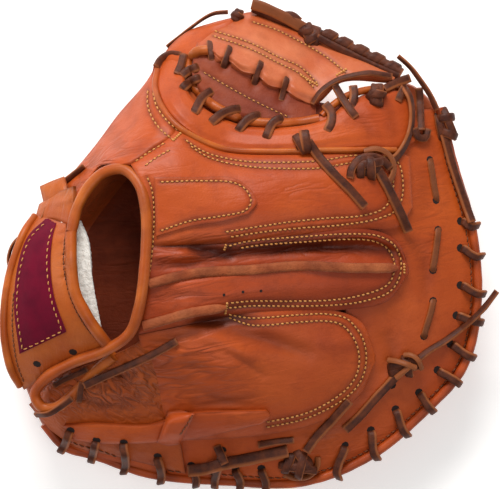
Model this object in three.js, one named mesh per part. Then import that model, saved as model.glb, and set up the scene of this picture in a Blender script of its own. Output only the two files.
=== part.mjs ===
// Catcher mitt lying palm down, back of the hand up, in millimetres.
// +X points to the fingertips, +Y to the thumb and +Z up. It is worn on the right hand.
import * as THREE from "three";

// Driving sizes
const leather = 2.4; // wall of a back panel
const stitched = 0.45; // clearance between a piece and the one that it is sewn on
const seam = 0.45; // half the gap between two panels that meet edge to edge
const laceWidth = 5;
const laceThickness = 2;
const tailDiameter = 3.2;
const welt = { radius: 2.6, below: 1.4 };
const roll = { opening: 3.2, strap: 3.4, binding: 2.2, cord: 2.7, piping: 1.7 };
const ridge = { width: 7, height: 4 };
const cavityFloor = 38; // top of the palm under the hand
const palm = { play: 1.2, fillHeight: 40, fillFrom: 0.74, fillTo: 0.92, rimDrop: 1.8, rimFrom: 0.9 };
const web = { px: 262, py: 90, wide: 100, high: 60, inner: 0.7, outer: 1.6 }; // where the pocket runs out
const wrist = { px: 40, py: 290, wide: 90, high: 75, inner: 0.75, outer: 1.25 }; // where the hand comes in

// The back is drawn as seen from above through a long lens: px and py are places in that view.
const view = { distance: 2000, perPixel: 0.6, px: 250, py: 244.5 };
const shift = { x: 1.73, y: 2.13 }; // centres the mitt over the origin

function at(px, py, z) {
  const scale = view.perPixel * (1 - z / view.distance);
  return new THREE.Vector3((px - view.px) * scale + shift.x, (view.py - py) * scale + shift.y, z);
}

// Heights of the back's leather at a few places
const backHeights = [
  { place: "rim under the wrist strap", px: 20, py: 300, z: 40 },
  { place: "strap's thumb end, outside", px: 48, py: 206, z: 56 },
  { place: "strap's thumb end, inside", px: 72, py: 208, z: 80 },
  { place: "rim at the thumb's root", px: 80, py: 166, z: 52 },
  { place: "rim beside the thumb", px: 118, py: 116, z: 44 },
  { place: "tip of the thumb", px: 166, py: 56, z: 46 },
  { place: "middle of the thumb", px: 128, py: 138, z: 74 },
  { place: "thumb beside the piping", px: 152, py: 100, z: 68 },
  { place: "crotch, thumb side", px: 175, py: 92, z: 70 },
  { place: "crotch, middle", px: 225, py: 138, z: 76 },
  { place: "crotch, finger side", px: 325, py: 136, z: 71 },
  { place: "opening, top", px: 112, py: 164, z: 88 },
  { place: "opening, finger tab", px: 152, py: 205, z: 101 },
  { place: "opening, middle", px: 150, py: 265, z: 102 },
  { place: "opening, bottom", px: 142, py: 330, z: 95 },
  { place: "end of the finger tab", px: 250, py: 200, z: 92 },
  { place: "middle of the back", px: 240, py: 280, z: 90 },
  { place: "little finger's knuckle", px: 220, py: 370, z: 80 },
  { place: "root of the little finger", px: 150, py: 395, z: 70 },
  { place: "roll's loop", px: 50, py: 402, z: 54 },
  { place: "tip of the index stall", px: 402, py: 180, z: 64 },
  { place: "tip of the middle stall", px: 402, py: 268, z: 62 },
  { place: "tip of the little stall", px: 368, py: 355, z: 58 },
  { place: "lower edge of the little stall", px: 270, py: 432, z: 55 },
  { place: "leather beside the web", px: 372, py: 108, z: 60 },
  { place: "rim, heel", px: 60, py: 446, z: 38 },
  { place: "rim, little finger", px: 160, py: 478, z: 35 },
  { place: "rim, bottom", px: 305, py: 482, z: 36 },
  { place: "rim, lower right", px: 424, py: 412, z: 38 },
  { place: "rim, right", px: 478, py: 300, z: 40 },
  { place: "rim, upper right", px: 458, py: 175, z: 42 },
  { place: "rim beside the web", px: 436, py: 105, z: 45 },
];

// A smooth sheet through the rows' heights: the thin plate spline, solved by elimination.
function thinPlate(rows) {
  const count = rows.length;
  const bend = (a, b) => {
    const square = ((a.px - b.px) ** 2 + (a.py - b.py) ** 2) / 1e4;
    return square > 0 ? square * Math.log(square) : 0;
  };
  const flat = (row) => [1, row.px / 100, row.py / 100];
  const system = rows.map((row) => [...rows.map((other) => bend(row, other)), ...flat(row), row.z]);
  for (let k = 0; k < 3; k++) {
    system.push([...rows.map((row) => flat(row)[k]), 0, 0, 0, 0]);
  }
  const size = count + 3;
  for (let c = 0; c < size; c++) {
    let best = c;
    for (let r = c; r < size; r++) {
      if (Math.abs(system[r][c]) > Math.abs(system[best][c])) best = r;
    }
    [system[c], system[best]] = [system[best], system[c]];
    for (let r = 0; r < size; r++) {
      if (r === c) continue;
      const share = system[r][c] / system[c][c];
      for (let k = c; k <= size; k++) system[r][k] -= share * system[c][k];
    }
  }
  const weight = system.map((row, i) => row[size] / row[i]);
  return (px, py) => {
    const here = { px, py };
    const bent = rows.reduce((sum, row, i) => sum + weight[i] * bend(here, row), 0);
    return bent + flat(here).reduce((sum, value, k) => sum + weight[count + k] * value, 0);
  };
}
const backHeight = thinPlate(backHeights);

// A smooth curve through places of the view. A place may have its height as a third value.
function through(places, closed = false) {
  const points = places.map(([px, py, z = 0]) => new THREE.Vector3(px, py, z));
  return new THREE.CatmullRomCurve3(points, closed, "centripetal");
}

const mitt = new THREE.Group();
const solids = {};

function add(name, geometry, finish) {
  const mesh = new THREE.Mesh(geometry, new THREE.MeshStandardMaterial(finish));
  mesh.name = name;
  mesh.updateMatrixWorld();
  mitt.add(mesh);
  solids[name] = mesh;
  return mesh;
}

const finishes = {
  leather: { color: 0xb4582c, roughness: 0.5, metalness: 0 },
  welt: { color: 0xa9552e, roughness: 0.75, metalness: 0 },
  darkLeather: { color: 0x7c3a24, roughness: 0.5, metalness: 0 },
  lightCord: { color: 0xc8713c, roughness: 0.5, metalness: 0 },
  lace: { color: 0x5a3222, roughness: 0.6, metalness: 0 },
  label: { color: 0x5a1528, roughness: 0.85, metalness: 0 },
  fleece: { color: 0xe0d8cc, roughness: 0.95, metalness: 0 },
};

// A closed solid from points and triangles, turned so that its faces point outwards
function closed(points, triangles) {
  let volume = 0;
  for (const [a, b, c] of triangles) {
    volume += points[a].dot(new THREE.Vector3().crossVectors(points[b], points[c]));
  }
  const outward = volume < 0 ? triangles.map(([a, b, c]) => [a, c, b]) : triangles;
  const geometry = new THREE.BufferGeometry();
  geometry.setAttribute("position", new THREE.Float32BufferAttribute(points.flatMap((p) => p.toArray()), 3));
  geometry.setIndex(outward.flat());
  return geometry;
}

// A solid through rings of the same count of points, with a fan on each end
function ringSolid(rings) {
  const count = rings[0].length;
  const points = rings.flat();
  const triangles = [];
  for (let r = 0; r + 1 < rings.length; r++) {
    for (let i = 0; i < count; i++) {
      const next = (i + 1) % count;
      const [a, b, c, d] = [r * count + i, r * count + next, (r + 1) * count + next, (r + 1) * count + i];
      triangles.push([a, b, c], [a, c, d]);
    }
  }
  for (const [ring, turned] of [[0, true], [rings.length - 1, false]]) {
    const middle = points.length;
    points.push(rings[ring].reduce((sum, p) => sum.add(p), new THREE.Vector3()).divideScalar(count));
    for (let i = 0; i < count; i++) {
      const [a, b] = [ring * count + i, ring * count + ((i + 1) % count)];
      triangles.push(turned ? [middle, b, a] : [middle, a, b]);
    }
  }
  return closed(points, triangles);
}

// A sheet with a wall: rows of points for its top and the same rows for its underside
function sheetSolid(top, under) {
  const across = top[0].length;
  const points = [...top.flat(), ...under.flat()];
  const lower = top.length * across;
  const triangles = [];
  for (let i = 0; i + 1 < top.length; i++) {
    for (let j = 0; j + 1 < across; j++) {
      const a = i * across + j;
      const [b, c, d] = [a + 1, a + across + 1, a + across];
      triangles.push([a, b, c], [a, c, d]);
      triangles.push([lower + a, lower + c, lower + b], [lower + a, lower + d, lower + c]);
    }
  }
  const columns = top[0].map((_, j) => j);
  const rows = top.map((_, i) => i).slice(1, -1);
  const edge = [
    ...columns,
    ...rows.map((i) => i * across + across - 1),
    ...columns.map((j) => (top.length - 1) * across + j).reverse(),
    ...rows.map((i) => i * across).reverse(),
  ];
  edge.forEach((a, k) => {
    const b = edge[(k + 1) % edge.length];
    triangles.push([a, lower + a, lower + b], [a, lower + b, b]);
  });
  return closed(points, triangles);
}

const plainFolds = [
  { v: 0, lift: 0 },
  { v: 0.12, lift: 0.6 },
  { v: 0.35, lift: 1 },
  { v: 0.65, lift: 1 },
  { v: 0.88, lift: 0.6 },
  { v: 1, lift: 0 },
];

// A panel between four lines of the view. Its height is the back's, or its own lines', and its folds
// lift or sink it across, as a share of its crown, with both ends left low.
function panel(shape) {
  const { far, near, start, end, crown = 2, level = 0, wall = leather, along = 12 } = shape;
  const { folds = plainFolds, height = null, inset = seam } = shape;
  const [farLine, nearLine] = [through(far), through(near)];
  const startLine = through(start ?? [far[0], near[0]]);
  const endLine = through(end ?? [far[far.length - 1], near[near.length - 1]]);
  const [a, b] = [farLine.getPoint(0), farLine.getPoint(1)];
  const [c, d] = [nearLine.getPoint(0), nearLine.getPoint(1)];
  const length = farLine.getLength() * view.perPixel;
  const top = [];
  const under = [];
  for (let i = 0; i <= along; i++) {
    const flatU = i / along;
    const u = inset / length + flatU * (1 - (2 * inset) / length);
    const f = farLine.getPointAt(u);
    const n = nearLine.getPointAt(u);
    const width = f.distanceTo(n) * view.perPixel;
    const ends = Math.min(1, Math.min(flatU, 1 - flatU) * 6);
    const rowTop = [];
    const rowUnder = [];
    for (const fold of folds) {
      const v = inset / width + fold.v * (1 - (2 * inset) / width);
      const s = startLine.getPointAt(v);
      const e = endLine.getPointAt(v);
      const p = new THREE.Vector3()
        .addScaledVector(f, 1 - v)
        .addScaledVector(n, v)
        .addScaledVector(s, 1 - u)
        .addScaledVector(e, u)
        .addScaledVector(a, -(1 - u) * (1 - v))
        .addScaledVector(b, -u * (1 - v))
        .addScaledVector(c, -(1 - u) * v)
        .addScaledVector(d, -u * v);
      const z = (height ? height(p.x, p.y) : p.z) + level + crown * fold.lift * ends;
      rowTop.push(at(p.x, p.y, z));
      rowUnder.push(at(p.x, p.y, z - wall));
    }
    top.push(rowTop);
    under.push(rowUnder);
  }
  return sheetSolid(top, under);
}

// The first leather that a line of sight meets at a place of the view, within a small reach round it
const eye = new THREE.Vector3(shift.x, shift.y, view.distance);
function heightOn(names, px, py, reach = 0) {
  const targets = names.map((name) => solids[name]);
  let highest = -Infinity;
  for (const [dx, dy] of [[0, 0], [1, 0], [-1, 0], [0, 1], [0, -1]]) {
    const to = at(px + dx * reach, py + dy * reach, 0);
    const ray = new THREE.Raycaster(eye, to.sub(eye).normalize());
    const [hit] = ray.intersectObjects(targets, false);
    if (hit) highest = Math.max(highest, hit.point.z);
    if (reach === 0) break;
  }
  if (highest === -Infinity) throw new Error(`no leather at ${px}, ${py}`);
  return highest;
}

// A panel laid on others: its underside keeps clear of them over its whole width.
function laidOn(names, shape) {
  const reach = shape.reach ?? 5;
  const height = (px, py) => heightOn(names, px, py, reach) + stitched + (shape.wall ?? leather);
  return panel({ crown: 0, inset: 0, ...shape, height });
}

// A roll or cord: a round or oval section swept along a line of the view
function swept(places, { wide, high = wide, sides = 8, steps, name, finish, flat = false }) {
  const line = through(places.map(([px, py, z]) => at(px, py, z).toArray()));
  const rings = [];
  for (let i = 0; i <= steps; i++) {
    const p = line.getPointAt(i / steps);
    const t = line.getTangentAt(i / steps);
    const across = new THREE.Vector3(t.y, -t.x, 0).normalize();
    const up = flat ? new THREE.Vector3(0, 0, 1) : new THREE.Vector3().crossVectors(across, t).normalize();
    const ring = [];
    for (let k = 0; k < sides; k++) {
      const turn = ((k + 0.5) / sides) * 2 * Math.PI;
      const aside = p.clone().addScaledVector(across, wide * Math.cos(turn));
      ring.push(aside.addScaledVector(up, high * Math.sin(turn)));
    }
    rings.push(ring);
  }
  return add(name, ringSolid(rings), finish);
}

// The rim of the mitt as seen from above, round the web's notch
const rimOutline = through([
  [16, 300], [16, 352], [30, 398], [50, 434], [92, 454], [150, 473], [222, 480], [303, 481], [368, 455],
  [425, 408], [461, 366], [475, 308], [471, 234], [452, 166], [436, 108], [404, 82], [352, 100],
  [318, 120], [262, 122], [208, 104], [188, 70], [170, 62], [146, 86], [112, 130], [78, 172], [40, 228],
], true);

// The padded palm: rings from the top's middle out to the rim, down its side and in to the pocket
function palmPad() {
  const centre = { px: 220, py: 280 };
  const sectors = 52;
  const outline = rimOutline.getSpacedPoints(sectors).slice(0, sectors);
  // How far a place is from the middle of a region, from 0 inside it to 1 well outside
  const outside = (region, px, py) => {
    const away = Math.hypot((px - region.px) / region.wide, (py - region.py) / region.high);
    return THREE.MathUtils.smoothstep(away, region.inner, region.outer);
  };
  const ringAt = (share, heightAt) =>
    outline.map((p) => {
      const px = centre.px + (p.x - centre.px) * share;
      const py = centre.py + (p.y - centre.py) * share;
      return at(px, py, heightAt(px, py));
    });
  const clearance = leather * 2 + stitched * 2 + palm.play;
  // Round the hand the padding fills the mitt, but it stays low at the wrist.
  const topHeight = (share) => (px, py) => {
    const fill = THREE.MathUtils.smoothstep(share, palm.fillFrom, palm.fillTo) * outside(wrist, px, py);
    const rimDrop = share > palm.rimFrom ? palm.rimDrop : 0;
    return Math.min(backHeight(px, py) - clearance - rimDrop, cavityFloor + palm.fillHeight * fill);
  };
  const topShares = [0.15, 0.4, 0.62, 0.76, 0.86, 0.94, 0.98];
  const pocket = [
    { share: 1, rim: 21, web: 40 },
    { share: 0.985, rim: 9, web: 32 },
    { share: 0.95, rim: 2.5, web: 29 },
    { share: 0.9, rim: 0, web: 28 },
    { share: 0.81, rim: 0, web: 28 },
    { share: 0.7, rim: 7, web: 28 },
    { share: 0.5, rim: 19, web: 27 },
    { share: 0.25, rim: 25, web: 27 },
    { share: 0.08, rim: 26, web: 26 },
  ];
  const rings = topShares.map((share) => ringAt(share, topHeight(share)));
  for (const row of pocket) {
    rings.push(ringAt(row.share, (px, py) => row.web + (row.rim - row.web) * outside(web, px, py)));
  }
  return ringSolid(rings);
}

// Back panels, sewn edge to edge
add("thumb_back", panel({
  far: [[46, 205], [70, 176], [95, 147], [120, 114], [144, 85], [156, 66]],
  near: [[67, 214], [84, 188], [101, 166], [130, 162], [152, 147], [174, 129], [160, 106], [154, 84],
    [158, 64]],
  crown: 3, height: backHeight, along: 18,
}), finishes.leather);
add("index_stall", panel({
  far: [[139, 166], [158, 151], [179, 134], [224, 151], [300, 154], [398, 152], [409, 157]],
  near: [[153, 246], [222, 243], [300, 234], [365, 228], [398, 226], [412, 208]],
  start: [[139, 166], [148, 184], [152, 210], [153, 246]], crown: 3.5, height: backHeight, along: 16,
}), finishes.leather);
add("middle_stall", panel({
  far: [[153, 248], [222, 245], [300, 236], [365, 230], [396, 241], [408, 266]],
  near: [[145, 332], [195, 322], [250, 312], [340, 309], [388, 300], [408, 274]],
  start: [[153, 248], [152, 292], [145, 332]], crown: 3.5, height: backHeight, along: 16,
  folds: [
    { v: 0, lift: 0.2 }, { v: 0.1, lift: 0.5 }, { v: 0.2, lift: -1 }, { v: 0.34, lift: -0.6 },
    { v: 0.48, lift: 0.7 }, { v: 0.68, lift: 1 }, { v: 0.9, lift: 0.5 }, { v: 1, lift: 0 },
  ],
}), finishes.leather);
add("little_stall", panel({
  far: [[146, 335], [200, 324], [250, 314], [330, 311], [362, 323], [375, 354]],
  near: [[161, 440], [215, 438], [262, 434], [320, 421], [360, 394], [375, 362]],
  crown: 4, height: backHeight, along: 16,
}), finishes.leather);
add("heel_side", panel({
  far: [[30, 404], [60, 376], [100, 362], [130, 349], [144, 337]],
  near: [[52, 427], [75, 442], [112, 450], [162, 465]],
  crown: 2.5, height: backHeight, along: 10,
}), finishes.leather);
add("index_tip", panel({
  far: [[328, 126], [346, 108], [380, 92], [410, 92]],
  near: [[336, 147], [365, 147], [398, 148], [420, 138]],
  crown: 2, height: backHeight, along: 7,
}), finishes.leather);

// The leather between the stalls and the rim runs in under their sewn edges.
add("rim_back", panel({
  far: [[168, 428], [240, 424], [300, 410], [345, 380], [360, 345], [372, 305], [394, 272], [396, 215],
    [398, 165], [402, 112]],
  near: [[168, 470], [240, 473], [303, 473], [362, 449], [417, 402], [452, 362], [466, 306], [462, 236],
    [443, 168], [430, 112]],
  crown: 1.5, level: -leather - stitched - 0.75, height: backHeight, along: 26,
  folds: [
    { v: 0, lift: -0.4 }, { v: 0.35, lift: 0.2 }, { v: 0.65, lift: 1 }, { v: 0.88, lift: 0.8 },
    { v: 1, lift: 0 },
  ],
}), finishes.leather);

add("palm_pad", palmPad(), finishes.leather);

// Crotch between thumb and fingers: padded roll, piping outside it and cord inside it
add("crotch_roll", panel({
  far: [[187, 54], [184, 72], [188, 92], [208, 111], [246, 128], [300, 130], [326, 126]],
  near: [[160, 62], [157, 83], [163, 105], [182, 128], [224, 147.5], [300, 150.5], [330, 149]],
  crown: 3.5, height: backHeight, along: 14,
}), finishes.leather);

const rollPlay = 0.1; // clearance under the piping and the cord, besides their reach
const backPanels = ["thumb_back", "index_stall", "middle_stall", "little_stall", "heel_side", "index_tip",
  "crotch_roll", "rim_back"];

// A roll or flat lace laid along places of the view, clear of the named pieces under it
function laidRoute(names, places, lift, reach, count = 14) {
  const line = through(places);
  const route = [];
  for (let i = 0; i <= count; i++) {
    const p = line.getPointAt(i / count);
    route.push([p.x, p.y, heightOn(names, p.x, p.y, reach) + lift]);
  }
  return route;
}

const pipingPlaces = [[157, 70], [155, 88], [162, 107], [180, 128], [222, 148], [262, 151], [330, 150],
  [396, 150]];
const pipingReach = 5.5;
swept(laidRoute(backPanels, pipingPlaces, roll.piping + rollPlay, pipingReach, 18), {
  name: "crotch_piping", wide: roll.piping, sides: 6, steps: 26, finish: finishes.lightCord,
});

// The web: a dark lower leather and a light upper one, falling to the rim
add("web_base", panel({
  far: [[194, 52, 60], [212, 50, 60], [246, 66, 59], [290, 84, 57.5], [316, 97, 57.5]],
  near: [[198, 72, 65], [208, 90, 69.5], [228, 105, 72], [268, 115, 71], [312, 113, 67]],
  crown: 1, along: 9,
}), finishes.darkLeather);
add("web_panel", panel({
  far: [[198, 38, 44], [224, 23, 38], [250, 12, 35], [286, 22, 36], [322, 35, 38], [372, 59, 42],
    [398, 70, 45]],
  near: [[196, 46, 62], [222, 54, 66], [256, 74, 66.5], [292, 92, 66], [314, 101, 64], [340, 80, 58],
    [394, 80, 52]],
  crown: 2.5, along: 14, wall: 3,
}), finishes.leather);

const cordPlaces = [[192, 58], [189.5, 76.2], [204.5, 98.6], [235.6, 116.9], [266, 123], [300, 122],
  [319, 118.9]];
const cordSunk = 0.8; // share of its radius that the cord stands over the seam
swept(laidRoute(["crotch_roll", "web_base", "palm_pad"], cordPlaces, cordSunk * roll.cord + rollPlay, 6), {
  name: "crotch_cord", wide: roll.cord, sides: 8, steps: 24, finish: finishes.lightCord,
});

// Wrist: strap with its rolls, lining and bare label, and the roll round the opening
const strapEdge = {
  outer: [[42, 214, 60], [29, 236, 70], [14, 280, 74], [10, 330, 71], [17, 367, 62], [28.5, 385, 56]],
  inner: [[64, 222, 84], [63, 245, 92], [66, 290, 97], [82, 322, 95], [95, 340.8, 88.5]],
};
add("wrist_strap", panel({
  far: strapEdge.outer, near: strapEdge.inner, crown: 2, along: 12, wall: 4, inset: 0,
}), finishes.leather);
add("strap_fleece", panel({
  far: [[48, 236, 76.5], [46, 285, 84.5], [58, 320, 83]],
  near: [[86, 230, 84], [90, 275, 88], [98, 320, 86]],
  crown: 0.5, along: 7, wall: 3, inset: 0,
}), finishes.fleece);
swept([[71, 233, 91], [71, 250, 93.5], [71.5, 268, 96.5], [75, 292, 98], [88, 318, 96.5], [99, 334, 92]], {
  name: "strap_roll", wide: roll.strap, sides: 8, steps: 12, finish: finishes.leather,
});
swept([[35, 216, 60], [23, 234, 69], [8, 280, 73], [3.5, 330, 70], [10.5, 369, 61], [20, 386, 54]], {
  name: "strap_binding", wide: roll.binding, sides: 8, steps: 16, finish: finishes.leather,
});
add("strap_label", laidOn(["wrist_strap"], {
  far: [[33, 240], [19, 272], [16, 312], [23, 348]],
  near: [[52, 224], [51, 252], [56, 298], [65, 324]],
  wall: 1.2, along: 8, reach: 3,
  folds: [{ v: 0, lift: 0 }, { v: 0.35, lift: 0 }, { v: 0.7, lift: 0 }, { v: 1, lift: 0 }],
}), finishes.label);
swept([
  [71.5, 231.5, 90.5], [78, 206, 89.5], [91, 184, 89.5], [106, 171.5, 90.5], [124, 169.5, 93.5],
  [139, 184, 98.5], [146, 214, 103], [145, 262, 105], [139, 308, 102], [129, 334, 96], [106, 350, 88],
  [72, 363, 78], [46, 378, 68.5], [35, 394, 61], [42, 407, 59], [56, 408, 61],
], { name: "opening_roll", wide: roll.opening, sides: 8, steps: 36, finish: finishes.leather });

// Pieces laid on the back
add("finger_tab", laidOn(backPanels, {
  far: [[154, 177], [196, 177], [234, 178], [251, 189]],
  near: [[156, 236], [190, 226], [222, 221], [248, 214]],
  end: [[251, 189], [257, 202], [248, 214]], wall: 2, along: 9,
}), finishes.leather);
for (const row of [
  {
    name: "ridge_upper",
    places: [[156, 282], [180, 276], [206, 272], [250, 270], [300, 266], [350, 268], [392, 268]],
  },
  { name: "ridge_lower", places: [[154, 330], [175, 318], [200, 310], [226, 307]] },
]) {
  const route = laidRoute(backPanels, row.places, ridge.height / 2 + stitched, 5, 12);
  swept(route, {
    name: row.name, wide: ridge.width / 2, high: ridge.height / 2, sides: 8, steps: 16, flat: true,
    finish: finishes.welt,
  });
}
add("little_finger_strap", laidOn(backPanels, {
  far: [[64, 426], [95, 424], [148, 425], [190, 414], [266, 411]],
  near: [[74, 440], [100, 444], [150, 443], [190, 440], [262, 424]],
  wall: 2, along: 12,
}), finishes.leather);
add("strap_keeper", laidOn([...backPanels, "little_finger_strap"], {
  far: [[168, 412], [182, 411], [195, 414]],
  near: [[157, 443], [168, 446], [181, 444]],
  wall: 2, along: 4, reach: 9,
}), finishes.leather);

// The rim's roll, just inside the outline
const weltPlaces = [[44, 424, 41], [64, 446, 38], [96, 456, 36], [150, 474, 34], [222, 481, 34],
  [303, 482, 35], [370, 456, 36.5], [426, 410, 37], [463, 367, 38], [477, 308, 39], [473, 234, 39.5],
  [454, 166, 41], [439, 108, 44]];
swept(weltPlaces.map(([px, py, z]) => [px, py, z - welt.below]), {
  name: "rim_welt", wide: welt.radius, sides: 6, steps: 52, finish: finishes.welt,
});

// Flat lace along a route with a width direction that stays level
function lace(name, route, { wide = laceWidth, steps = 6 } = {}) {
  return swept(route, {
    name, wide: wide / 2, high: laceThickness / 2, sides: 6, steps, finish: finishes.lace,
  });
}

const underLaces = [...backPanels, "rim_welt", "finger_tab", "little_finger_strap", "web_base", "web_panel",
  "crotch_piping", "palm_pad"];

// Wraps of the rim's lace: a hole in the leather and the place where it leaves over the rim
const rimWraps = [
  { hole: [96, 442], edge: [92, 456] }, { hole: [124, 444], edge: [126, 466] },
  { hole: [158, 458], edge: [162, 478] }, { hole: [222, 452], edge: [216, 481] },
  { hole: [344, 447], edge: [336, 470] }, { hole: [371, 432], edge: [373, 454] },
  { hole: [396, 411], edge: [402, 430] }, { hole: [420, 394], edge: [429, 407] },
  { hole: [439, 371], edge: [454, 381] }, { hole: [452, 345], edge: [468, 355] },
  { hole: [458, 316], edge: [476, 322] }, { hole: [462, 286], edge: [478, 293] },
  { hole: [462, 249], edge: [475, 257] },
];
const wrapPlay = { inside: 0.6, over: 0.9 }; // slack of a wrap on the leather and over the roll
const wrapEnd = 6; // how far a wrap goes down outside the roll
const weltLine = through(weltPlaces);
const weltSamples = 400;

// The place on the rim's roll that is nearest to a place of the view, and the way out from it
function onWelt([px, py]) {
  const samples = weltLine.getSpacedPoints(weltSamples);
  const away = samples.map((p) => Math.hypot(p.x - px, p.y - py));
  const nearest = away.indexOf(Math.min(...away));
  const along = weltLine.getTangentAt(nearest / weltSamples);
  return { on: samples[nearest], out: new THREE.Vector2(-along.y, along.x).normalize() };
}

rimWraps.forEach(({ hole, edge }, i) => {
  const lift = laceThickness / 2 + stitched + wrapPlay.inside;
  const { on, out } = onWelt(edge);
  const height = (px, py) => heightOn(underLaces, px, py, 5) + lift;
  const middle = [(hole[0] + on.x) / 2, (hole[1] + on.y) / 2];
  const round = (far, drop) => {
    const reach = (welt.radius + lift + far) / view.perPixel;
    return [on.x + out.x * reach, on.y + out.y * reach, on.z - welt.below - drop];
  };
  const over = [on.x, on.y, height(on.x, on.y) + wrapPlay.over];
  const inside = height(...hole);
  const midway = Math.max(height(...middle), (inside + over[2]) / 2);
  lace(`rim_lace_${String(i + 1).padStart(2, "0")}`, [
    [...hole, inside], [...middle, midway], over, round(0.8, 0.5), round(0.5, wrapEnd),
  ]);
});

// Flat laces that run along the edges
const topLace = [[247, 7.5, 35], [258, 8, 35], [287, 17, 36], [324, 30, 38], [374, 54, 42], [400, 65, 45]];
lace("top_lace", topLace, { steps: 16 });
const laidLift = 1.9; // middle of a laid lace over the leather, with its twist
const edgePlaces = [[444, 138], [452, 166], [463, 198], [471, 222]];
lace("edge_lace", laidRoute(underLaces, edgePlaces, laidLift, 6, 8));
const bottomPlaces = [[190, 468], [222, 464], [250, 459], [286, 452]];
lace("bottom_lace", laidRoute([...underLaces, "rim_lace_04"], bottomPlaces, laidLift, 6, 8));

// Knots of the lacing: a rounded lump of lace lying on the leather
const knots = [
  { name: "knot_web", px: 376, py: 95, wide: 8, long: 10, high: 4 },
  { name: "knot_index", px: 370, py: 168, wide: 10, long: 9, high: 4.5 },
  { name: "knot_right", px: 405, py: 370, wide: 8, long: 8, high: 4.5 },
  { name: "knot_bottom", px: 301, py: 464, wide: 8, long: 11, high: 4.5 },
  { name: "knot_top", px: 312, py: 42, wide: 6, long: 8, high: 4 },
];
const knot = { reach: 0.6, play: 0.3 }; // share of its width that is looked under, and its clearance
for (const row of knots) {
  const geometry = new THREE.SphereGeometry(1, 8, 6);
  geometry.scale(row.wide, row.long, row.high);
  const under = heightOn(underLaces, row.px, row.py, (row.wide / view.perPixel) * knot.reach);
  const z = under + row.high + stitched + knot.play;
  geometry.translate(...at(row.px, row.py, z).toArray());
  geometry.deleteAttribute("normal");
  geometry.deleteAttribute("uv");
  add(row.name, geometry, finishes.lace);
}

// Free ends of lace, each a tube from its knot along the leather
const beyondRim = 480; // no leather lies under a place beyond this px
const tailDrop = 0.5; // how much a tail sinks from place to place beyond the rim
const tails = [
  { name: "tail_index_right", clear: 0.85, places: [[386, 180], [395, 197], [402, 216], [408, 232]] },
  { name: "tail_index_left", clear: 0.5, places: [[316, 152], [330, 170], [350, 190], [365, 207]] },
  {
    name: "tail_right", clear: 0.9,
    places: [[419, 363], [440, 346], [458, 330], [475, 315], [484, 306], [494, 296]],
  },
  { name: "tail_little", clear: 0.5, places: [[397, 381], [384, 390], [365, 408], [346, 429]] },
  { name: "tail_bottom", clear: 0.2, places: [[309, 444], [318, 436], [332, 422], [350, 401]] },
  { name: "tail_wrist", clear: 0.5, places: [[86, 386], [120, 371], [150, 356], [177, 341]] },
];
for (const { name, clear, places } of tails) {
  const lift = tailDiameter / 2 + clear;
  const onMitt = places.filter(([px]) => px < beyondRim);
  const route = laidRoute(Object.keys(solids), onMitt, lift, 5, 12);
  for (const [px, py] of places.slice(onMitt.length)) {
    route.push([px, py, route.at(-1)[2] - tailDrop]);
  }
  const line = new THREE.CatmullRomCurve3(route.map(([px, py, z]) => at(px, py, z)), false, "centripetal");
  const section = new THREE.Shape().absarc(0, 0, tailDiameter / 2, 0, 2 * Math.PI, false);
  const geometry = new THREE.ExtrudeGeometry(section, { steps: 8, curveSegments: 4, extrudePath: line });
  geometry.deleteAttribute("normal");
  geometry.deleteAttribute("uv");
  add(name, geometry, finishes.lace);
}

export default mitt;
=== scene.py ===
import math

import bpy
import numpy as np
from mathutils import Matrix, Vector, noise
from mathutils.bvhtree import BVHTree
from mathutils.kdtree import KDTree


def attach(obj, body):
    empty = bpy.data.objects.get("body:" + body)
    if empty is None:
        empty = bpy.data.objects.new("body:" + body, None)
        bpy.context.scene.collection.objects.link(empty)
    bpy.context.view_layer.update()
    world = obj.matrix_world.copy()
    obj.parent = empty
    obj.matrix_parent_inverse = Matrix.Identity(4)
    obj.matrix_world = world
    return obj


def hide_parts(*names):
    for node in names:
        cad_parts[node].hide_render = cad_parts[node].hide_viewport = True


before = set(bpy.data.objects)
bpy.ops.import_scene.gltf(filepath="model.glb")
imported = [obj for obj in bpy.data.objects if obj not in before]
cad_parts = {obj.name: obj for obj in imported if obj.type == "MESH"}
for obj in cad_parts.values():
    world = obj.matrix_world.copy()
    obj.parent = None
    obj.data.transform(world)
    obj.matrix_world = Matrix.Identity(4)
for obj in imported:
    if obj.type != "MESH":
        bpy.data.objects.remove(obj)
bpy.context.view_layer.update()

mm = 0.001
view = {"distance": 2000.0, "perPixel": 0.6, "px": 250.0, "py": 244.5}   # the long lens over the mitt
shift = {"x": 1.73, "y": 2.13}   # where the middle of the view meets the floor
eye = Vector((shift["x"], shift["y"], view["distance"])) * mm
leatherWall = 2.4
sewnGap = 0.45
curveSteps = 20   # points of a curve between two of its places


# Lines, heights and meshes

def place(px, py, z):   # a place of the view at a height, as a point in metres
    scale = view["perPixel"] * (1 - z / view["distance"])
    x = (px - view["px"]) * scale + shift["x"]
    y = (view["py"] - py) * scale + shift["y"]
    return np.stack(np.broadcast_arrays(x, y, z), axis=-1) * mm


def evenly(points, count):   # the same line with evenly spaced points
    points = points[np.concatenate([[True], np.linalg.norm(np.diff(points, axis=0), axis=1) > 1e-9])]
    steps = np.linalg.norm(np.diff(points, axis=0), axis=1)
    along = np.concatenate([[0], np.cumsum(steps)])
    at = np.linspace(0, along[-1], count) if np.isscalar(count) else np.asarray(count) * along[-1]
    line = np.stack([np.interp(at, along, points[:, k]) for k in range(points.shape[1])], axis=1)
    first, last = (points[1] - points[0]) / steps[0], (points[-1] - points[-2]) / steps[-1]
    return line + np.minimum(at, 0)[:, None] * first + np.maximum(at - along[-1], 0)[:, None] * last


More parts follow.
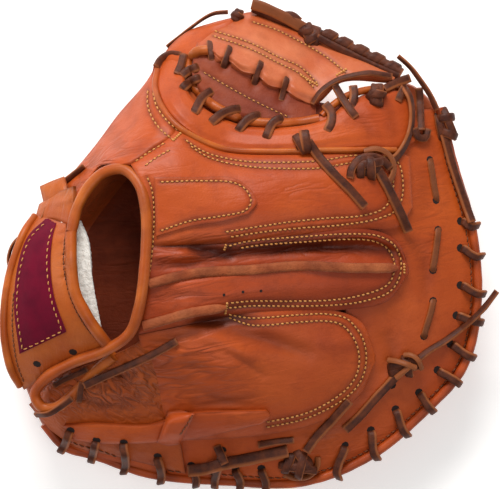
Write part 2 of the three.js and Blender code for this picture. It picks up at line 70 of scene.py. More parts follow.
def smoothLine(places, count, closed=False):   # a centripetal curve through places
    p = np.array(places, float)
    if len(p) == 2 and not closed:
        return evenly(p, count)
    ends = (p[-1:], p[:2]) if closed else (2 * p[:1] - p[1:2], 2 * p[-1:] - p[-2:-1])
    p = np.concatenate([ends[0], p, ends[1]])
    line = []
    for a, b, c, d in zip(p, p[1:], p[2:], p[3:]):
        knots = np.cumsum([0] + [max(1e-6, np.linalg.norm(q - r) ** 0.5) for q, r in ((b, a), (c, b), (d, c))])
        t = np.linspace(knots[1], knots[2], curveSteps, endpoint=False)[:, None]

        def blend(q, r, i, j):
            span = knots[j] - knots[i]
            return (knots[j] - t) / span * q + (t - knots[i]) / span * r

        first, second, third = blend(a, b, 0, 1), blend(b, c, 1, 2), blend(c, d, 2, 3)
        line.append(blend(blend(first, second, 0, 2), blend(second, third, 1, 3), 1, 2))
    line.append(p[-2:-1] if not closed else p[1:2])
    return evenly(np.concatenate(line), count)


def smoothed(values, kernel):   # a moving average that keeps the ends
    return np.convolve(np.pad(values, len(kernel) // 2, mode="edge"), np.array(kernel) / sum(kernel), mode="valid")


def lengthOf(points):
    return float(np.linalg.norm(np.diff(points, axis=0), axis=1).sum())


backHeights = [   # place of the view and height of the leather there
    (20, 300, 40), (48, 206, 56), (72, 208, 80), (80, 166, 52), (118, 116, 44), (166, 56, 46), (128, 138, 74),
    (152, 100, 68), (175, 92, 70), (225, 138, 76), (325, 136, 71), (112, 164, 88), (152, 205, 101),
    (150, 265, 102), (142, 330, 95), (250, 200, 92), (240, 280, 90), (220, 370, 80), (150, 395, 70),
    (50, 402, 54), (402, 180, 64), (402, 268, 62), (368, 355, 58), (270, 432, 55), (372, 108, 60),
    (60, 446, 38), (160, 478, 35), (305, 482, 36), (424, 412, 38), (478, 300, 40), (458, 175, 42), (436, 105, 45),
]


def thinPlate(rows):   # a smooth sheet through the rows' heights
    rows = np.array(rows, float)
    spots = rows[:, :2] / 100
    count = len(rows)

    def bend(a, b):
        square = ((a[:, None] - b[None]) ** 2).sum(-1)
        return square * np.log(np.maximum(square, 1e-12))

    flat = np.hstack([np.ones((count, 1)), spots])
    system = np.block([[bend(spots, spots), flat], [flat.T, np.zeros((3, 3))]])
    weights = np.linalg.solve(system, np.concatenate([rows[:, 2], np.zeros(3)]))

    def height(px, py):
        px, py = np.broadcast_arrays(np.asarray(px, float), np.asarray(py, float))
        here = np.stack([px.ravel(), py.ravel()], axis=1) / 100
        z = bend(here, spots) @ weights[:count] + np.hstack([np.ones((len(here), 1)), here]) @ weights[count:]
        return z.reshape(px.shape)

    return height


backHeight = thinPlate(backHeights)


def smoothStep(value, low, high):
    t = np.clip((value - low) / (high - low), 0, 1)
    return t * t * (3 - 2 * t)


def roughNoise(points, size, seed=0.0):   # smooth noise from -1 to 1 with bumps of that size in millimetres
    offset = Vector((seed, seed * 1.7, seed * 0.3))
    flat = points.reshape(-1, 3) / (size * mm)
    return np.array([noise.noise(Vector(p) + offset) for p in flat]).reshape(points.shape[:-1])


# What each group of pieces is sewn with, as lines of the view
stitchRows = {
    "thumb": [
        [(148, 90), (148, 105), (152, 117), (160, 129), (174, 141)],
        [(153, 92), (156, 105), (162, 115), (170, 124), (178, 131)],
        [(165, 143), (150, 152), (135, 162)],
        [(170, 150), (156, 158), (145, 166)],
    ],
    "index": [
        [(185, 140), (200, 150), (215, 156), (250, 162), (320, 161), (352, 156), (385, 157), (398, 163), (402, 176),
         (402, 196), (396, 210), (380, 218), (340, 225), (300, 228), (262, 232), (230, 237)],
        [(190, 146), (205, 156), (222, 162), (250, 167), (300, 169), (322, 168), (352, 163), (378, 163), (389, 169),
         (393, 182), (391, 196), (384, 208), (360, 216), (330, 218), (290, 222), (250, 228), (225, 232)],
        [(147, 177), (152, 190), (154, 215), (153, 240), (151, 262), (148, 283)],
    ],
    "fingerTab": [
        [(160, 182), (200, 181), (234, 183), (246, 190), (251, 201), (246, 210), (222, 216), (190, 221),
         (160, 231)],
    ],
    "middle": [
        [(228, 246), (250, 241), (300, 237), (350, 234), (378, 236), (395, 246), (401, 262), (398, 280), (389, 292),
         (372, 299), (345, 304), (300, 306), (250, 306), (228, 308)],
        [(240, 248), (260, 245), (300, 242), (350, 239), (374, 241), (387, 248), (394, 262), (393, 275), (387, 285),
         (362, 295), (330, 300), (290, 301), (250, 301), (230, 303)],
    ],
    "little": [
        [(228, 314), (250, 318), (300, 315), (325, 314), (345, 318), (356, 328), (363, 340), (366, 356), (364, 372),
         (358, 385), (345, 398), (325, 410), (300, 420), (266, 427)],
        [(228, 317), (250, 325), (300, 322), (325, 321), (340, 324), (350, 333), (357, 346), (359, 360), (357, 373),
         (350, 385), (338, 396), (320, 407), (300, 415), (266, 422)],
    ],
    "webPanel": [
        [(214, 31), (250, 43), (280, 58), (300, 67), (318, 84)],
        [(213, 36), (250, 49), (280, 64), (300, 74), (314, 88)],
        [(252, 22), (276, 30), (300, 42), (326, 57), (346, 73)],
    ],
    "webBase": [[(203, 72), (230, 88), (260, 104), (288, 117)]],
}
barTacks = [   # short dense rows across the ends of the stitching
    [(173, 141), (181, 133)], [(226, 244), (224, 250)],
    [(227, 302), (225, 314)], [(404, 263), (404, 274)],
    [(300, 75), (318, 86)], [(336, 76), (347, 69)],
]
# Soft folds of the leather: depth in mm, below zero sinks, width in pixels of the view, line, and on one how much
# painted shade it gets per mm of depth; a sinking fold is painted darker as shade
creases = [
    (-4.0, 6.5, [(206, 252), (260, 250), (320, 247), (380, 251), (400, 260)]),
    (-2.8, 6.5, [(190, 322), (225, 320), (262, 322)]),
    (-3.0, 9, [(206, 322), (232, 331), (270, 342), (316, 355)], 0.16),
    (1.2, 7, [(200, 334), (226, 346), (262, 362)]),
    (-1.2, 4, [(196, 318), (230, 308), (300, 303)]),
    (-1.2, 3, [(160, 246), (200, 244), (236, 240)]),
    (-4.5, 6, [(186, 249), (205, 252), (236, 255)]),
    (-1.8, 5, [(180, 321), (202, 322), (226, 321)]),
    (-1.2, 3, [(200, 396), (235, 398), (262, 396)]),
    (-1.5, 3, [(194, 404), (225, 402), (252, 404)]),
    (-1.0, 3, [(225, 352), (245, 362), (268, 378)]),
    (1.3, 12, [(200, 360), (220, 366), (244, 366)]),
    (2.6, 8, [(206, 50), (232, 59), (258, 75), (284, 89), (306, 96)]),
    (-2.6, 3.5, [(208, 42), (212, 60)]),
    (-3.2, 4, [(231, 46), (223, 70)]),
    (-3.2, 4, [(262, 62), (253, 88)]),
    (-3.2, 4, [(288, 76), (280, 102)]),
    (-1.6, 3, [(150, 246), (185, 248), (214, 250)]),
    (1.4, 3.5, [(150, 257), (190, 257), (225, 257)]),
    (-1.5, 3, [(150, 268), (185, 265), (214, 263)]),
    (-1.2, 4, [(152, 300), (180, 296), (210, 297)]),
    (-1.6, 4, [(150, 345), (185, 336), (215, 330)]),
    (1.0, 4, [(152, 356), (180, 352), (214, 350)]),
    (-1.2, 4, [(152, 366), (180, 364), (214, 372)]),
    (-0.7, 5, [(160, 376), (190, 384), (220, 398)]),
    (-1.3, 3, [(88, 372), (110, 376), (140, 372)]),
    (1.2, 4, [(80, 384), (104, 392), (134, 394)]),
    (-1.4, 3.5, [(74, 396), (98, 404), (130, 408)]),
    (-0.9, 3, [(102, 362), (124, 380), (134, 404)]),
    (1.0, 4, [(126, 352), (140, 372), (150, 398)]),
    (-0.8, 7, [(104, 128), (116, 142), (122, 158)]),
    (0.8, 8, [(126, 108), (138, 120), (144, 138)]),
    (-1.4, 3, [(58, 196), (70, 190), (84, 182)]),
    (1.0, 2.5, [(54, 204), (66, 201), (76, 196)]),
    (-0.8, 4, [(90, 168), (96, 156), (104, 146)]),
    (-0.7, 6, [(352, 112), (366, 124), (372, 142)]),
    (-0.8, 5, [(384, 100), (392, 120), (396, 142)]),
    (-0.9, 7, [(410, 235), (424, 262), (424, 300)]),
    (-0.7, 8, [(418, 150), (424, 190), (420, 226)]),
    (-1.0, 7, [(382, 330), (392, 350), (384, 376)]),
    (-0.8, 5, [(300, 440), (330, 430), (352, 412)]),
] + [(-0.8, 1.3, [(57, y), (62, y - 1), (69, y - 2)]) for y in (234, 244, 256, 266, 279)]
# painted shade that a sinking fold puts into the leather's colour, per mm of its depth
creaseShade = 0.28
seam = {"deep": 0.55, "wide": 1.5, "dark": 0.55}   # the leather drawn in along a row of stitches, and the painted shade put into its groove


def nearLines(px, py, lines, spacing=1.5):   # distance in pixels from each place to the nearest of the lines
    samples = np.concatenate([smoothLine(l, max(2, int(lengthOf(np.array(l, float)) / spacing))) for l in lines])
    tree = KDTree(len(samples))
    for i, (x, y) in enumerate(samples):
        tree.insert((x, y, 0), i)
    tree.balance()
    flat = np.stack([px.ravel(), py.ravel()], axis=1)
    return np.array([tree.find((x, y, 0))[2] for x, y in flat]).reshape(px.shape)


def detail(px, py, group):   # what the sewing and the folds do to the leather: lift in mm, and how dark it is painted as shade in stitch grooves and sinking folds
    lift = np.zeros_like(px)
    dark = np.zeros_like(px)
    rows = stitchRows.get(group)
    if rows:
        away = nearLines(px, py, rows) * view["perPixel"]
        groove = np.exp(-(away / seam["wide"]) ** 2)
        lift -= seam["deep"] * groove
        dark += seam["dark"] * groove
    for depth, width, places, *shade in creases:
        line = smoothLine(places, 40)
        gaps = np.hypot(px[..., None] - line[:, 0], py[..., None] - line[:, 1])
        nearest = gaps.argmin(-1)
        taper = np.sin(np.pi * np.clip((nearest + 0.5) / 40, 0, 1)) ** 0.6
        fall = np.exp(-(gaps.min(-1) / width) ** 2) * taper
        lift += depth * fall
        dark += max(0.0, -depth) * (shade or [creaseShade])[0] * fall
    return lift, np.clip(dark, 0, 1)


wornSpots = [   # where the leather is creased by use: middle, half widths and how much
    {"at": (188, 262), "half": (60, 15), "much": 0.6}, {"at": (190, 300), "half": (55, 16), "much": 0.5},
    {"at": (182, 352), "half": (48, 26), "much": 0.65}, {"at": (108, 388), "half": (62, 30), "much": 1.1},
    {"at": (210, 392), "half": (60, 30), "much": 0.35}, {"at": (250, 238), "half": (90, 12), "much": 0.6},
    {"at": (320, 250), "half": (90, 10), "much": 0.6}, {"at": (136, 152), "half": (34, 20), "much": 0.5},
    {"at": (84, 176), "half": (30, 26), "much": 0.6}, {"at": (58, 206), "half": (26, 16), "much": 0.25},
    {"at": (300, 190), "half": (60, 16), "much": 0.35}, {"at": (430, 200), "half": (22, 70), "much": 0.25},
    {"at": (330, 440), "half": (60, 20), "much": 0.3}, {"at": (356, 122), "half": (34, 18), "much": 0.3},
]


def wornAt(px, py):
    worn = np.full(px.shape, 0.07)
    for spot in wornSpots:
        away = ((px - spot["at"][0]) / spot["half"][0]) ** 2 + ((py - spot["at"][1]) / spot["half"][1]) ** 2
        worn += spot["much"] * np.exp(-away)
    return np.clip(worn, 0, 1)


def edgeSamples(length, step):   # shares of a length, close together at both ends
    ends = np.array([0, 0.25, 0.7, 1.3])
    if length < 8:
        return np.linspace(0, 1, max(4, int(length / step) + 2))
    middle = np.linspace(2.2, length - 2.2, max(2, int((length - 4.4) / step) + 1))
    return np.concatenate([ends, middle, length - ends[::-1]]) / length


def selectOnly(*objects):
    bpy.ops.object.select_all(action="DESELECT")
    for obj in objects:
        obj.select_set(True)
    bpy.context.view_layer.objects.active = objects[0]


def applyModifier(obj, kind, **settings):
    selectOnly(obj)
    modifier = obj.modifiers.new(kind.title(), kind)
    for key, value in settings.items():
        setattr(modifier, key, value)
    bpy.ops.object.modifier_apply(modifier=modifier.name)


def setAttribute(obj, name, values):
    attribute = obj.data.attributes.get(name) or obj.data.attributes.new(name, "FLOAT", "POINT")
    attribute.data.foreach_set("value", np.asarray(values, np.float32).ravel())


def meshObject(name, points, faces):
    mesh = bpy.data.meshes.new(name)
    mesh.from_pydata(np.asarray(points).reshape(-1, 3).tolist(), [], [list(map(int, f)) for f in faces])
    mesh.update()
    obj = bpy.data.objects.new(name, mesh)
    bpy.context.scene.collection.objects.link(obj)
    return obj


def meshOfParts(name, parts):   # many small shapes, each its points and faces, as one mesh
    faces, count = [], 0
    for points, corners in parts:
        faces += [[i + count for i in f] for f in corners]
        count += len(points)
    return meshObject(name, np.concatenate([points for points, _ in parts]), faces)


def ringFaces(rings, sides):   # the quads between rings of points
    i, j = np.meshgrid(np.arange(rings - 1), np.arange(sides), indexing="ij")
    k = (j + 1) % sides
    faces = np.stack([i * sides + j, i * sides + k, (i + 1) * sides + k, (i + 1) * sides + j], axis=-1)
    return faces.reshape(-1, 4).tolist()


def smoothShade(obj, angle=50):
    selectOnly(obj)
    bpy.ops.object.shade_smooth_by_angle(angle=math.radians(angle))


def finish(obj, material, slot, *nodes):   # its material, its body and the nodes that it stands for
    obj.data.materials.clear()
    obj.data.materials.append(material)
    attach(obj, "root")
    if nodes:
        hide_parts(*nodes)
    return obj


# A sheet of leather from a plane grid: its points are set, then it gets its wall and round edges
def sheetPiece(name, top, wall, dark, worn, edgeRound=0.7):
    rows, columns = top.shape[:2]
    bpy.ops.object.select_all(action="DESELECT")
    bpy.ops.mesh.primitive_grid_add(x_subdivisions=columns - 1, y_subdivisions=rows - 1, size=1)
    obj = bpy.context.object
    obj.name = obj.data.name = name
    obj.data.vertices.foreach_set("co", top.astype(np.float32).ravel())
    obj.data.update()
    setAttribute(obj, "dark", dark)
    setAttribute(obj, "wrinkle", worn)
    if obj.data.polygons[len(obj.data.polygons) // 2].normal.z < 0:
        obj.data.flip_normals()
    applyModifier(obj, "SOLIDIFY", thickness=wall * mm, offset=-1, use_even_offset=False)
    if edgeRound:
        applyModifier(obj, "BEVEL", width=edgeRound * mm, segments=2, limit_method="ANGLE",
                      angle_limit=math.radians(60), harden_normals=False)
    smoothShade(obj)
    return obj


plainFolds = [(0, 0), (0.12, 0.6), (0.35, 1), (0.65, 1), (0.88, 0.6), (1, 0)]


def panelPoints(spec):   # the middle lines, shares and heights of a panel between four lines of the view
    far, near = np.array(spec["far"], float), np.array(spec["near"], float)
    start = np.array(spec.get("start", [far[0], near[0]]), float)
    end = np.array(spec.get("end", [far[-1], near[-1]]), float)
    step = spec.get("step", 1.5)
    long = max(lengthOf(far[:, :2]), lengthOf(near[:, :2])) * view["perPixel"]
    wide = max(np.linalg.norm(smoothLine(far, 9)[:, :2] - smoothLine(near, 9)[:, :2], axis=1)) * view["perPixel"]
    inset = spec.get("inset", -0.8)
    u = edgeSamples(long, step)
    v = edgeSamples(wide, step)
    uu = inset / long + u * (1 - 2 * inset / long)
    vv = inset / wide + v * (1 - 2 * inset / wide)
    f, n = smoothLine(far, uu)[:, None], smoothLine(near, uu)[:, None]
    s, e = smoothLine(start, vv)[None], smoothLine(end, vv)[None]
    U, V = uu[:, None, None], vv[None, :, None]
    corners = ((1 - U) * (1 - V) * far[0] + U * (1 - V) * far[-1] + (1 - U) * V * near[0] + U * V * near[-1])
    p = (1 - V) * f + V * n + (1 - U) * s + U * e - corners
    return p, u, v, long, wide


def panel(name, spec, material, slot, *nodes):
    p, u, v, long, wide = panelPoints(spec)
    px, py = p[..., 0], p[..., 1]
    folds = np.array(spec.get("folds", plainFolds))
    k = np.clip(np.searchsorted(folds[:, 0], v, side="right") - 1, 0, len(folds) - 2)
    share = smoothStep((v - folds[k, 0]) / (folds[k + 1, 0] - folds[k, 0]), 0, 1)
    across = folds[k, 1] * (1 - share) + folds[k + 1, 1] * share
    ends = smoothStep(np.minimum(u, 1 - u), 0, 0.17)
    lift = spec.get("crown", 2.0) * across[None, :] * ends[:, None]
    base = spec["height"](px, py) if "height" in spec else p[..., 2]
    more, dark = detail(px, py, spec.get("group"))
    edge = np.minimum(np.minimum(u, 1 - u)[:, None] * long, np.minimum(v, 1 - v)[None, :] * wide)
    lift += more - spec.get("edgeDrop", 0.5) * (1 - smoothStep(edge, 0, spec.get("edgeWidth", 2.2)))
    # painted shade along the panel's edges, where it meets its neighbours
    dark = np.clip(dark + 0.35 * (1 - smoothStep(edge, 0, 1.6)), 0, 1)
    z = base + spec.get("level", 0) + lift
    z = z + 0.28 * roughNoise(place(px, py, z), 17, 3.0) + 0.12 * roughNoise(place(px, py, z), 6, 9.0)
    obj = sheetPiece(name, place(px, py, z), spec.get("wall", leatherWall), dark, wornAt(px, py),
                     spec.get("edgeRound", 0.7))
    return finish(obj, material, slot, *nodes)


def treeOf(objects):
    points, faces = [], []
    for obj in objects:
        start = len(points)
        points += [v.co.copy() for v in obj.data.vertices]
        faces += [[start + i for i in f.vertices] for f in obj.data.polygons]
    return BVHTree.FromPolygons(points, faces)


def seen(tree, px, py):   # the point and normal that the view meets at a place, or None
    to = Vector(place(float(px), float(py), 0.0))
    hit, normal, _, _ = tree.ray_cast(eye, (to - eye).normalized())
    return (hit, normal) if hit else (None, None)


def heightOn(tree, px, py, blur=0):   # heights in millimetres, with what is missed taken from the back's sheet
    flat = []
    for x, y in zip(px.ravel(), py.ravel()):
        hit, _ = seen(tree, x, y)
        flat.append(hit.z / mm if hit else float(backHeight(x, y)) - 4)
    z = np.array(flat).reshape(px.shape)
    for _ in range(blur):
        padded = np.pad(z, 1, mode="edge")
        z = (padded[1:-1, 1:-1] * 2 + padded[:-2, 1:-1] + padded[2:, 1:-1] + padded[1:-1, :-2]
             + padded[1:-1, 2:]) / 6
    return z


# A section swept along a line: rings of points, closed at both ends
def sweep(name, path, up, section, side=None, swell=None, turns=None):
    path = np.asarray(path, float)
    tangent = np.gradient(path, axis=0)
    tangent /= np.linalg.norm(tangent, axis=1)[:, None]
    side = np.cross(tangent, np.asarray(up, float)) if side is None else np.array(side, float)
    side -= tangent * (side * tangent).sum(1)[:, None]
    side /= np.maximum(np.linalg.norm(side, axis=1), 1e-9)[:, None]
    lift = np.cross(side, tangent)
    section = np.asarray(section, float)
    scale = np.ones(len(path)) if swell is None else np.asarray(swell, float)
    angle = np.zeros(len(path)) if turns is None else np.asarray(turns, float)
    c, s = np.cos(angle)[:, None], np.sin(angle)[:, None]
    aside = (section[None, :, 0] * c - section[None, :, 1] * s) * mm * scale[:, None]
    above = (section[None, :, 0] * s + section[None, :, 1] * c) * mm * scale[:, None]
    rings = path[:, None] + side[:, None] * aside[..., None] + lift[:, None] * above[..., None]
    count = len(section)
    last = (len(path) - 1) * count
    faces = ringFaces(len(path), count) + [list(range(count))[::-1], list(range(last, last + count))]
    obj = meshObject(name, rings, faces)
    corners = rings.reshape(-1, 3)[np.array([f[:3] for f in faces])]
    if (corners[:, 0] * np.cross(corners[:, 1], corners[:, 2])).sum() < 0:   # inside out
        obj.data.flip_normals()
    return obj


def oval(wide, high, sides):
    angles = np.linspace(0, 2 * np.pi, sides, endpoint=False)
    return np.stack([wide * np.cos(angles), high * np.sin(angles)], axis=1)


def strapSection(wide, thick, bevel=0.35):   # a flat lace's section with rounded corners
    w, t = wide / 2, thick / 2
    return [(-w, -t + bevel), (-w + bevel, -t), (-w / 3, -t), (w / 3, -t), (w - bevel, -t), (w, -t + bevel),
            (w, t - bevel), (w - bevel, t), (w / 3, t * 1.08), (-w / 3, t * 1.08), (-w + bevel, t), (-w, t - bevel)]


# Materials

def linear(code):   # an sRGB hex value as linear colour
    parts = [int(code[i:i + 2], 16) / 255 for i in (1, 3, 5)]
    return [p / 12.92 if p <= 0.04045 else ((p + 0.055) / 1.055) ** 2.4 for p in parts] + [1.0]


def addNode(tree, kind, inputs=(), output=0, **settings):   # a node with its links or values and its settings
    node = tree.nodes.new("ShaderNode" + kind)
    for key, value in settings.items():
        setattr(node, key, value)
    for socket, value in inputs.items() if isinstance(inputs, dict) else enumerate(inputs):
        if isinstance(value, bpy.types.NodeSocket):
            tree.links.new(value, node.inputs[socket])
        else:
            node.inputs[socket].default_value = value
    return node.outputs[output]


def newMaterial(name, values=None):   # a material with its shader, whose even values are set on the sockets
    material = bpy.data.materials.new(name)
    material.use_nodes = True
    tree = material.node_tree
    shader = tree.nodes["Principled BSDF"]
    for socket, value in (values or {}).items():
        shader.inputs[socket].default_value = value
    return material, tree, shader


def colourLayers(tree, colour, layers):   # colours laid over each other, each where its pattern lies in a range
    for pattern, low, high, most, code in layers:
        share = addNode(tree, "MapRange", (pattern, low, high, 0, most))
        colour = addNode(tree, "Mix", {0: share, 6: colour, 7: linear(code)}, 2, data_type="RGBA")
    return colour


def leather(name, look):
    material, tree, shader = newMaterial(name, {
        "IOR": 1.45, "Specular IOR Level": 0.28, "Sheen Weight": look["sheen"], "Sheen Roughness": 0.4,
        "Coat Weight": look["coat"], "Coat Roughness": 0.35})
    at = addNode(tree, "TexCoord", output="Object")
    cloud = addNode(tree, "TexNoise", {
        "Vector": at, "Scale": 1 / (look["cloud"] * mm), "Detail": 4.0, "Roughness": 0.55})
    stain = addNode(tree, "TexNoise", {
        "Vector": at, "Scale": 1 / (look["stain"] * mm), "Detail": 6.0, "Roughness": 0.65})
    cell = addNode(tree, "TexVoronoi", feature="SMOOTH_F1", inputs={
        "Vector": at, "Scale": 1 / (look["grain"] * mm), "Smoothness": 0.35})
    fine = addNode(tree, "TexNoise", {"Vector": at, "Scale": 1 / (look["pore"] * mm), "Detail": 3.0, "Roughness": 0.6})
    dark = addNode(tree, "Attribute", output="Fac", attribute_name="dark")
    worn = addNode(tree, "Attribute", output="Fac", attribute_name="wrinkle")
    # folds of use: the narrow valleys of a noise that is drawn out along the lie of the hide
    along = addNode(tree, "Mapping", vector_type="TEXTURE", inputs={
        "Vector": at, "Rotation": (0, 0, math.radians(look["lie"])), "Scale": (look["stretch"], 1, 1.7)})
    fold = addNode(tree, "TexNoise", {
        "Vector": along, "Scale": 1 / (look["fold"] * mm), "Detail": 2.0, "Roughness": 0.45, "Distortion": 0.5})
    middle = addNode(tree, "Math", (fold, 0.5), operation="SUBTRACT")
    ridge = addNode(tree, "MapRange", (addNode(tree, "Math", (middle,), operation="ABSOLUTE"), 0, 0.16))
    valley = addNode(tree, "Math", (1.0, ridge), operation="SUBTRACT")
    shade = addNode(tree, "Math", (valley, worn), operation="MULTIPLY")
    normal = None
    for height, strength, distance in ((cell, look["grainBump"], 0.25), (fine, look["poreBump"], 0.3),
                                       (stain, 0.35, 0.6), (ridge, worn, look["foldDepth"])):
        bump = {"Height": height, "Strength": strength, "Distance": distance * mm}
        normal = addNode(tree, "Bump", {**bump, "Normal": normal} if normal is not None else bump)
    # colour: the hide's clouds, stains and pores, then painted shade in the crease colour from the 'dark' attribute
    # (stitch grooves, sinking folds, panel edges, and random dark patches on the rolls and the palm) and from the fold
    # valleys
    colour = colourLayers(tree, linear(look["base"]), [
        (cloud, 0.35, 0.68, 1, look["light"]), (stain, 0.5, 0.75, look["stains"], look["deep"]),
        (fine, 0.55, 0.85, 0.3, look["deep"]), (dark, 0, 1, look["grimeAndShade"], look["crease"]),
        (shade, 0.2, 1, 0.4, look["crease"])])
    tree.links.new(colour, shader.inputs["Base Color"])
    tree.links.new(addNode(tree, "MapRange", (stain, 0.3, 0.75, *look["roughness"])), shader.inputs["Roughness"])
    tree.links.new(normal, shader.inputs["Normal"])
    return material


# Oiled steerhide: drum dyed, plated smooth and rubbed with oil, so it shines softly and has a fine grain.
# Sizes are in mm: colour clouds, stains, grain, pores and folds, and how far a fold is drawn out and sinks.
oiled = {"stain": 16, "grain": 1.1, "pore": 0.8, "grainBump": 0.28, "poreBump": 0.22, "roughness": (0.42, 0.58),
         "stains": 0.5, "grimeAndShade": 0.85, "sheen": 0.0, "coat": 0.1, "lie": 8, "fold": 6.5, "stretch": 4.5,
         "foldDepth": 0.9}
steerhide = leather("oiledSteerhide", {
    **oiled, "base": "#A43F11", "light": "#B95019", "deep": "#7E2B0A", "crease": "#3E1004", "cloud": 55})
# The middle stall gets a darker, redder hide
stallHide = leather("stallSteerhide", {
    **oiled, "base": "#94340D", "light": "#AA4416", "deep": "#6C2408", "crease": "#380D04", "cloud": 50})
# The web's upper piece: a paler, pinker hide, painted highlight for the glare on it
webGlareHide = leather("webSteerhideGlare", {
    **oiled, "base": "#AC4C22", "light": "#C06A42", "deep": "#8A3814", "crease": "#4A1606", "cloud": 26, "stain": 12,
    "roughness": (0.4, 0.55), "stains": 0.45, "coat": 0.12, "lie": -28})
# Hide of the heel, where use has pressed small slanting folds
heelHide = leather("heelSteerhide", {
    **oiled, "base": "#9C400F", "light": "#B05018", "deep": "#742908", "crease": "#340D04", "cloud": 40, "stain": 14,
    "roughness": (0.4, 0.56), "stains": 0.4, "lie": -38, "fold": 5.0, "stretch": 1.9, "foldDepth": 1.5})
# Hide of the wrist strap: less handled, so still light
strapHide = leather("strapSteerhide", {
    **oiled, "base": "#A84B12", "light": "#BE6424", "deep": "#86360C", "crease": "#4A1A08", "cloud": 40, "stain": 14,
    "roughness": (0.38, 0.55), "stains": 0.35, "sheen": 0.03, "coat": 0.12, "lie": 80})
# The palm's hide is the same, handled more, so it is a little deeper in colour
palmHide = leather("palmSteerhide", {
    **oiled, "base": "#933D16", "light": "#A54D20", "deep": "#702B0E", "crease": "#3E1206", "cloud": 60, "stain": 20,
    "grain": 1.2, "pore": 0.9, "grainBump": 0.3, "stains": 0.4, "grimeAndShade": 0.6, "sheen": 0.03, "coat": 0.08})
# The web's lower piece is darker, redder hide
redHide = leather("redBrownSteerhide", {
    **oiled, "base": "#74280E", "light": "#8C3A18", "deep": "#541A08", "crease": "#300C04", "cloud": 30, "stain": 12,
    "grain": 1.2, "grainBump": 0.3, "poreBump": 0.25, "roughness": (0.5, 0.65), "stains": 0.45, "grimeAndShade": 0.7,
    "coat": 0.04, "lie": 0})
# Binding leather: thin split, skived and rolled, smooth and lighter where it is stretched
bindingHide = leather("rolledBindingLeather", {
    **oiled, "base": "#AA4A10", "light": "#C0631F", "deep": "#823209", "crease": "#481808", "cloud": 22, "stain": 9,
    "grain": 0.9, "pore": 0.7, "grainBump": 0.2, "poreBump": 0.2, "roughness": (0.38, 0.52), "stains": 0.3,
    "grimeAndShade": 0.6, "sheen": 0.03, "coat": 0.12, "lie": 0})
# Split leather of the ridges: rough flesh side, dry and without shine
splitHide = leather("roughSplitLeather", {
    **oiled, "base": "#92431F", "light": "#AA5C33", "deep": "#692C14", "crease": "#3C140A", "cloud": 14, "stain": 4,
    "grain": 1.0, "pore": 1.2, "grainBump": 0.55, "poreBump": 0.8, "roughness": (0.62, 0.8), "stains": 0.6,
    "grimeAndShade": 0.7, "sheen": 0.1, "coat": 0.0, "lie": 0})
# The hand lining and the inside of the hollow: bare tan flesh side, painted a darker red-brown as the shade inside the
# hollow
liningShadeHide = leather("liningLeatherShaded", {
    **oiled, "base": "#6E260A", "light": "#843412", "deep": "#421404", "crease": "#240A02", "cloud": 30, "stain": 10,
    "grain": 1.2, "pore": 1.0, "grainBump": 0.35, "poreBump": 0.4, "roughness": (0.6, 0.78), "grimeAndShade": 0.7,
    "sheen": 0.05, "coat": 0.0, "lie": 0})


def spunMaterial(name, values, size, noiseInputs, first, layers, bump):
    # a material with one noise of a size in mm, its colours and a bump: strength and distance in mm
    material, tree, shader = newMaterial(name, values)
    at = addNode(tree, "TexCoord", output="Object")
    pattern = addNode(tree, "TexNoise", {"Vector": at, "Scale": 1 / (size * mm), **noiseInputs})
    colour = colourLayers(tree, linear(first), [(pattern, *layer) for layer in layers])
    tree.links.new(colour, shader.inputs["Base Color"])
    tree.links.new(addNode(tree, "Bump", {"Height": pattern, "Strength": bump[0], "Distance": bump[1] * mm}),
                   shader.inputs["Normal"])
    return material


# Waxed polyester thread: three plies twisted together, gold and slightly shiny
thread = spunMaterial("waxedThread", {"Roughness": 0.5}, 0.6, {"Detail": 2.0}, "#AE6A26", [(0.35, 0.7, 1, "#DDA056")],
                      (0.6, 0.2))
# Wool fleece: short curly pile, matted by the hand
fleece = spunMaterial("woolFleece", {"Roughness": 0.95, "Sheen Weight": 0.4}, 2.2,
                      {"Detail": 6.0, "Roughness": 0.7, "Distortion": 1.2}, "#CFC7BC",
                      [(0.35, 0.62, 1, "#F4F0E8")], (0.9, 1.0))
# Tan thread gone dark with oil, the red-brown inside of a stitch hole darkened as painted shade, and the painted deep
# shade in the lace holes
darkThread, needleHole, punchedHole = [
    newMaterial(name, {"Base Color": linear(code), "Roughness": roughness})[0]
    for name, code, roughness in (("darkThread", "#6E3A1A", 0.7), ("needleHole", "#4A1C0C", 0.9),
                                  ("punchedHole", "#1E0A05", 0.9))]


# Rawhide lace: dyed dark on both faces, with cut edges that show the lighter middle of the hide
def laceMaterial():
    material, tree, shader = newMaterial("darkRawhideLace", {"Specular IOR Level": 0.22})
    at = addNode(tree, "TexCoord", output="Object")
    cloud = addNode(tree, "TexNoise", {"Vector": at, "Scale": 1 / (6 * mm), "Detail": 5.0, "Roughness": 0.6})
    fine = addNode(tree, "TexNoise", {"Vector": at, "Scale": 1 / (0.7 * mm), "Detail": 3.0, "Roughness": 0.65})
    cut = addNode(tree, "Attribute", output="Fac", attribute_name="cut")
    colour = colourLayers(tree, linear("#3E1A0E"), [
        (cloud, 0.35, 0.7, 1, "#643018"), (fine, 0.5, 0.8, 0.45, "#240E07"), (cut, 0, 1, 0.75, "#A25A2E")])
    tree.links.new(colour, shader.inputs["Base Color"])
    tree.links.new(addNode(tree, "MapRange", (cloud, 0.3, 0.7, 0.42, 0.6)), shader.inputs["Roughness"])
    tree.links.new(addNode(tree, "Bump", {"Height": fine, "Strength": 0.5, "Distance": 0.3 * mm}),
                   shader.inputs["Normal"])
    return material


rawhide = laceMaterial()


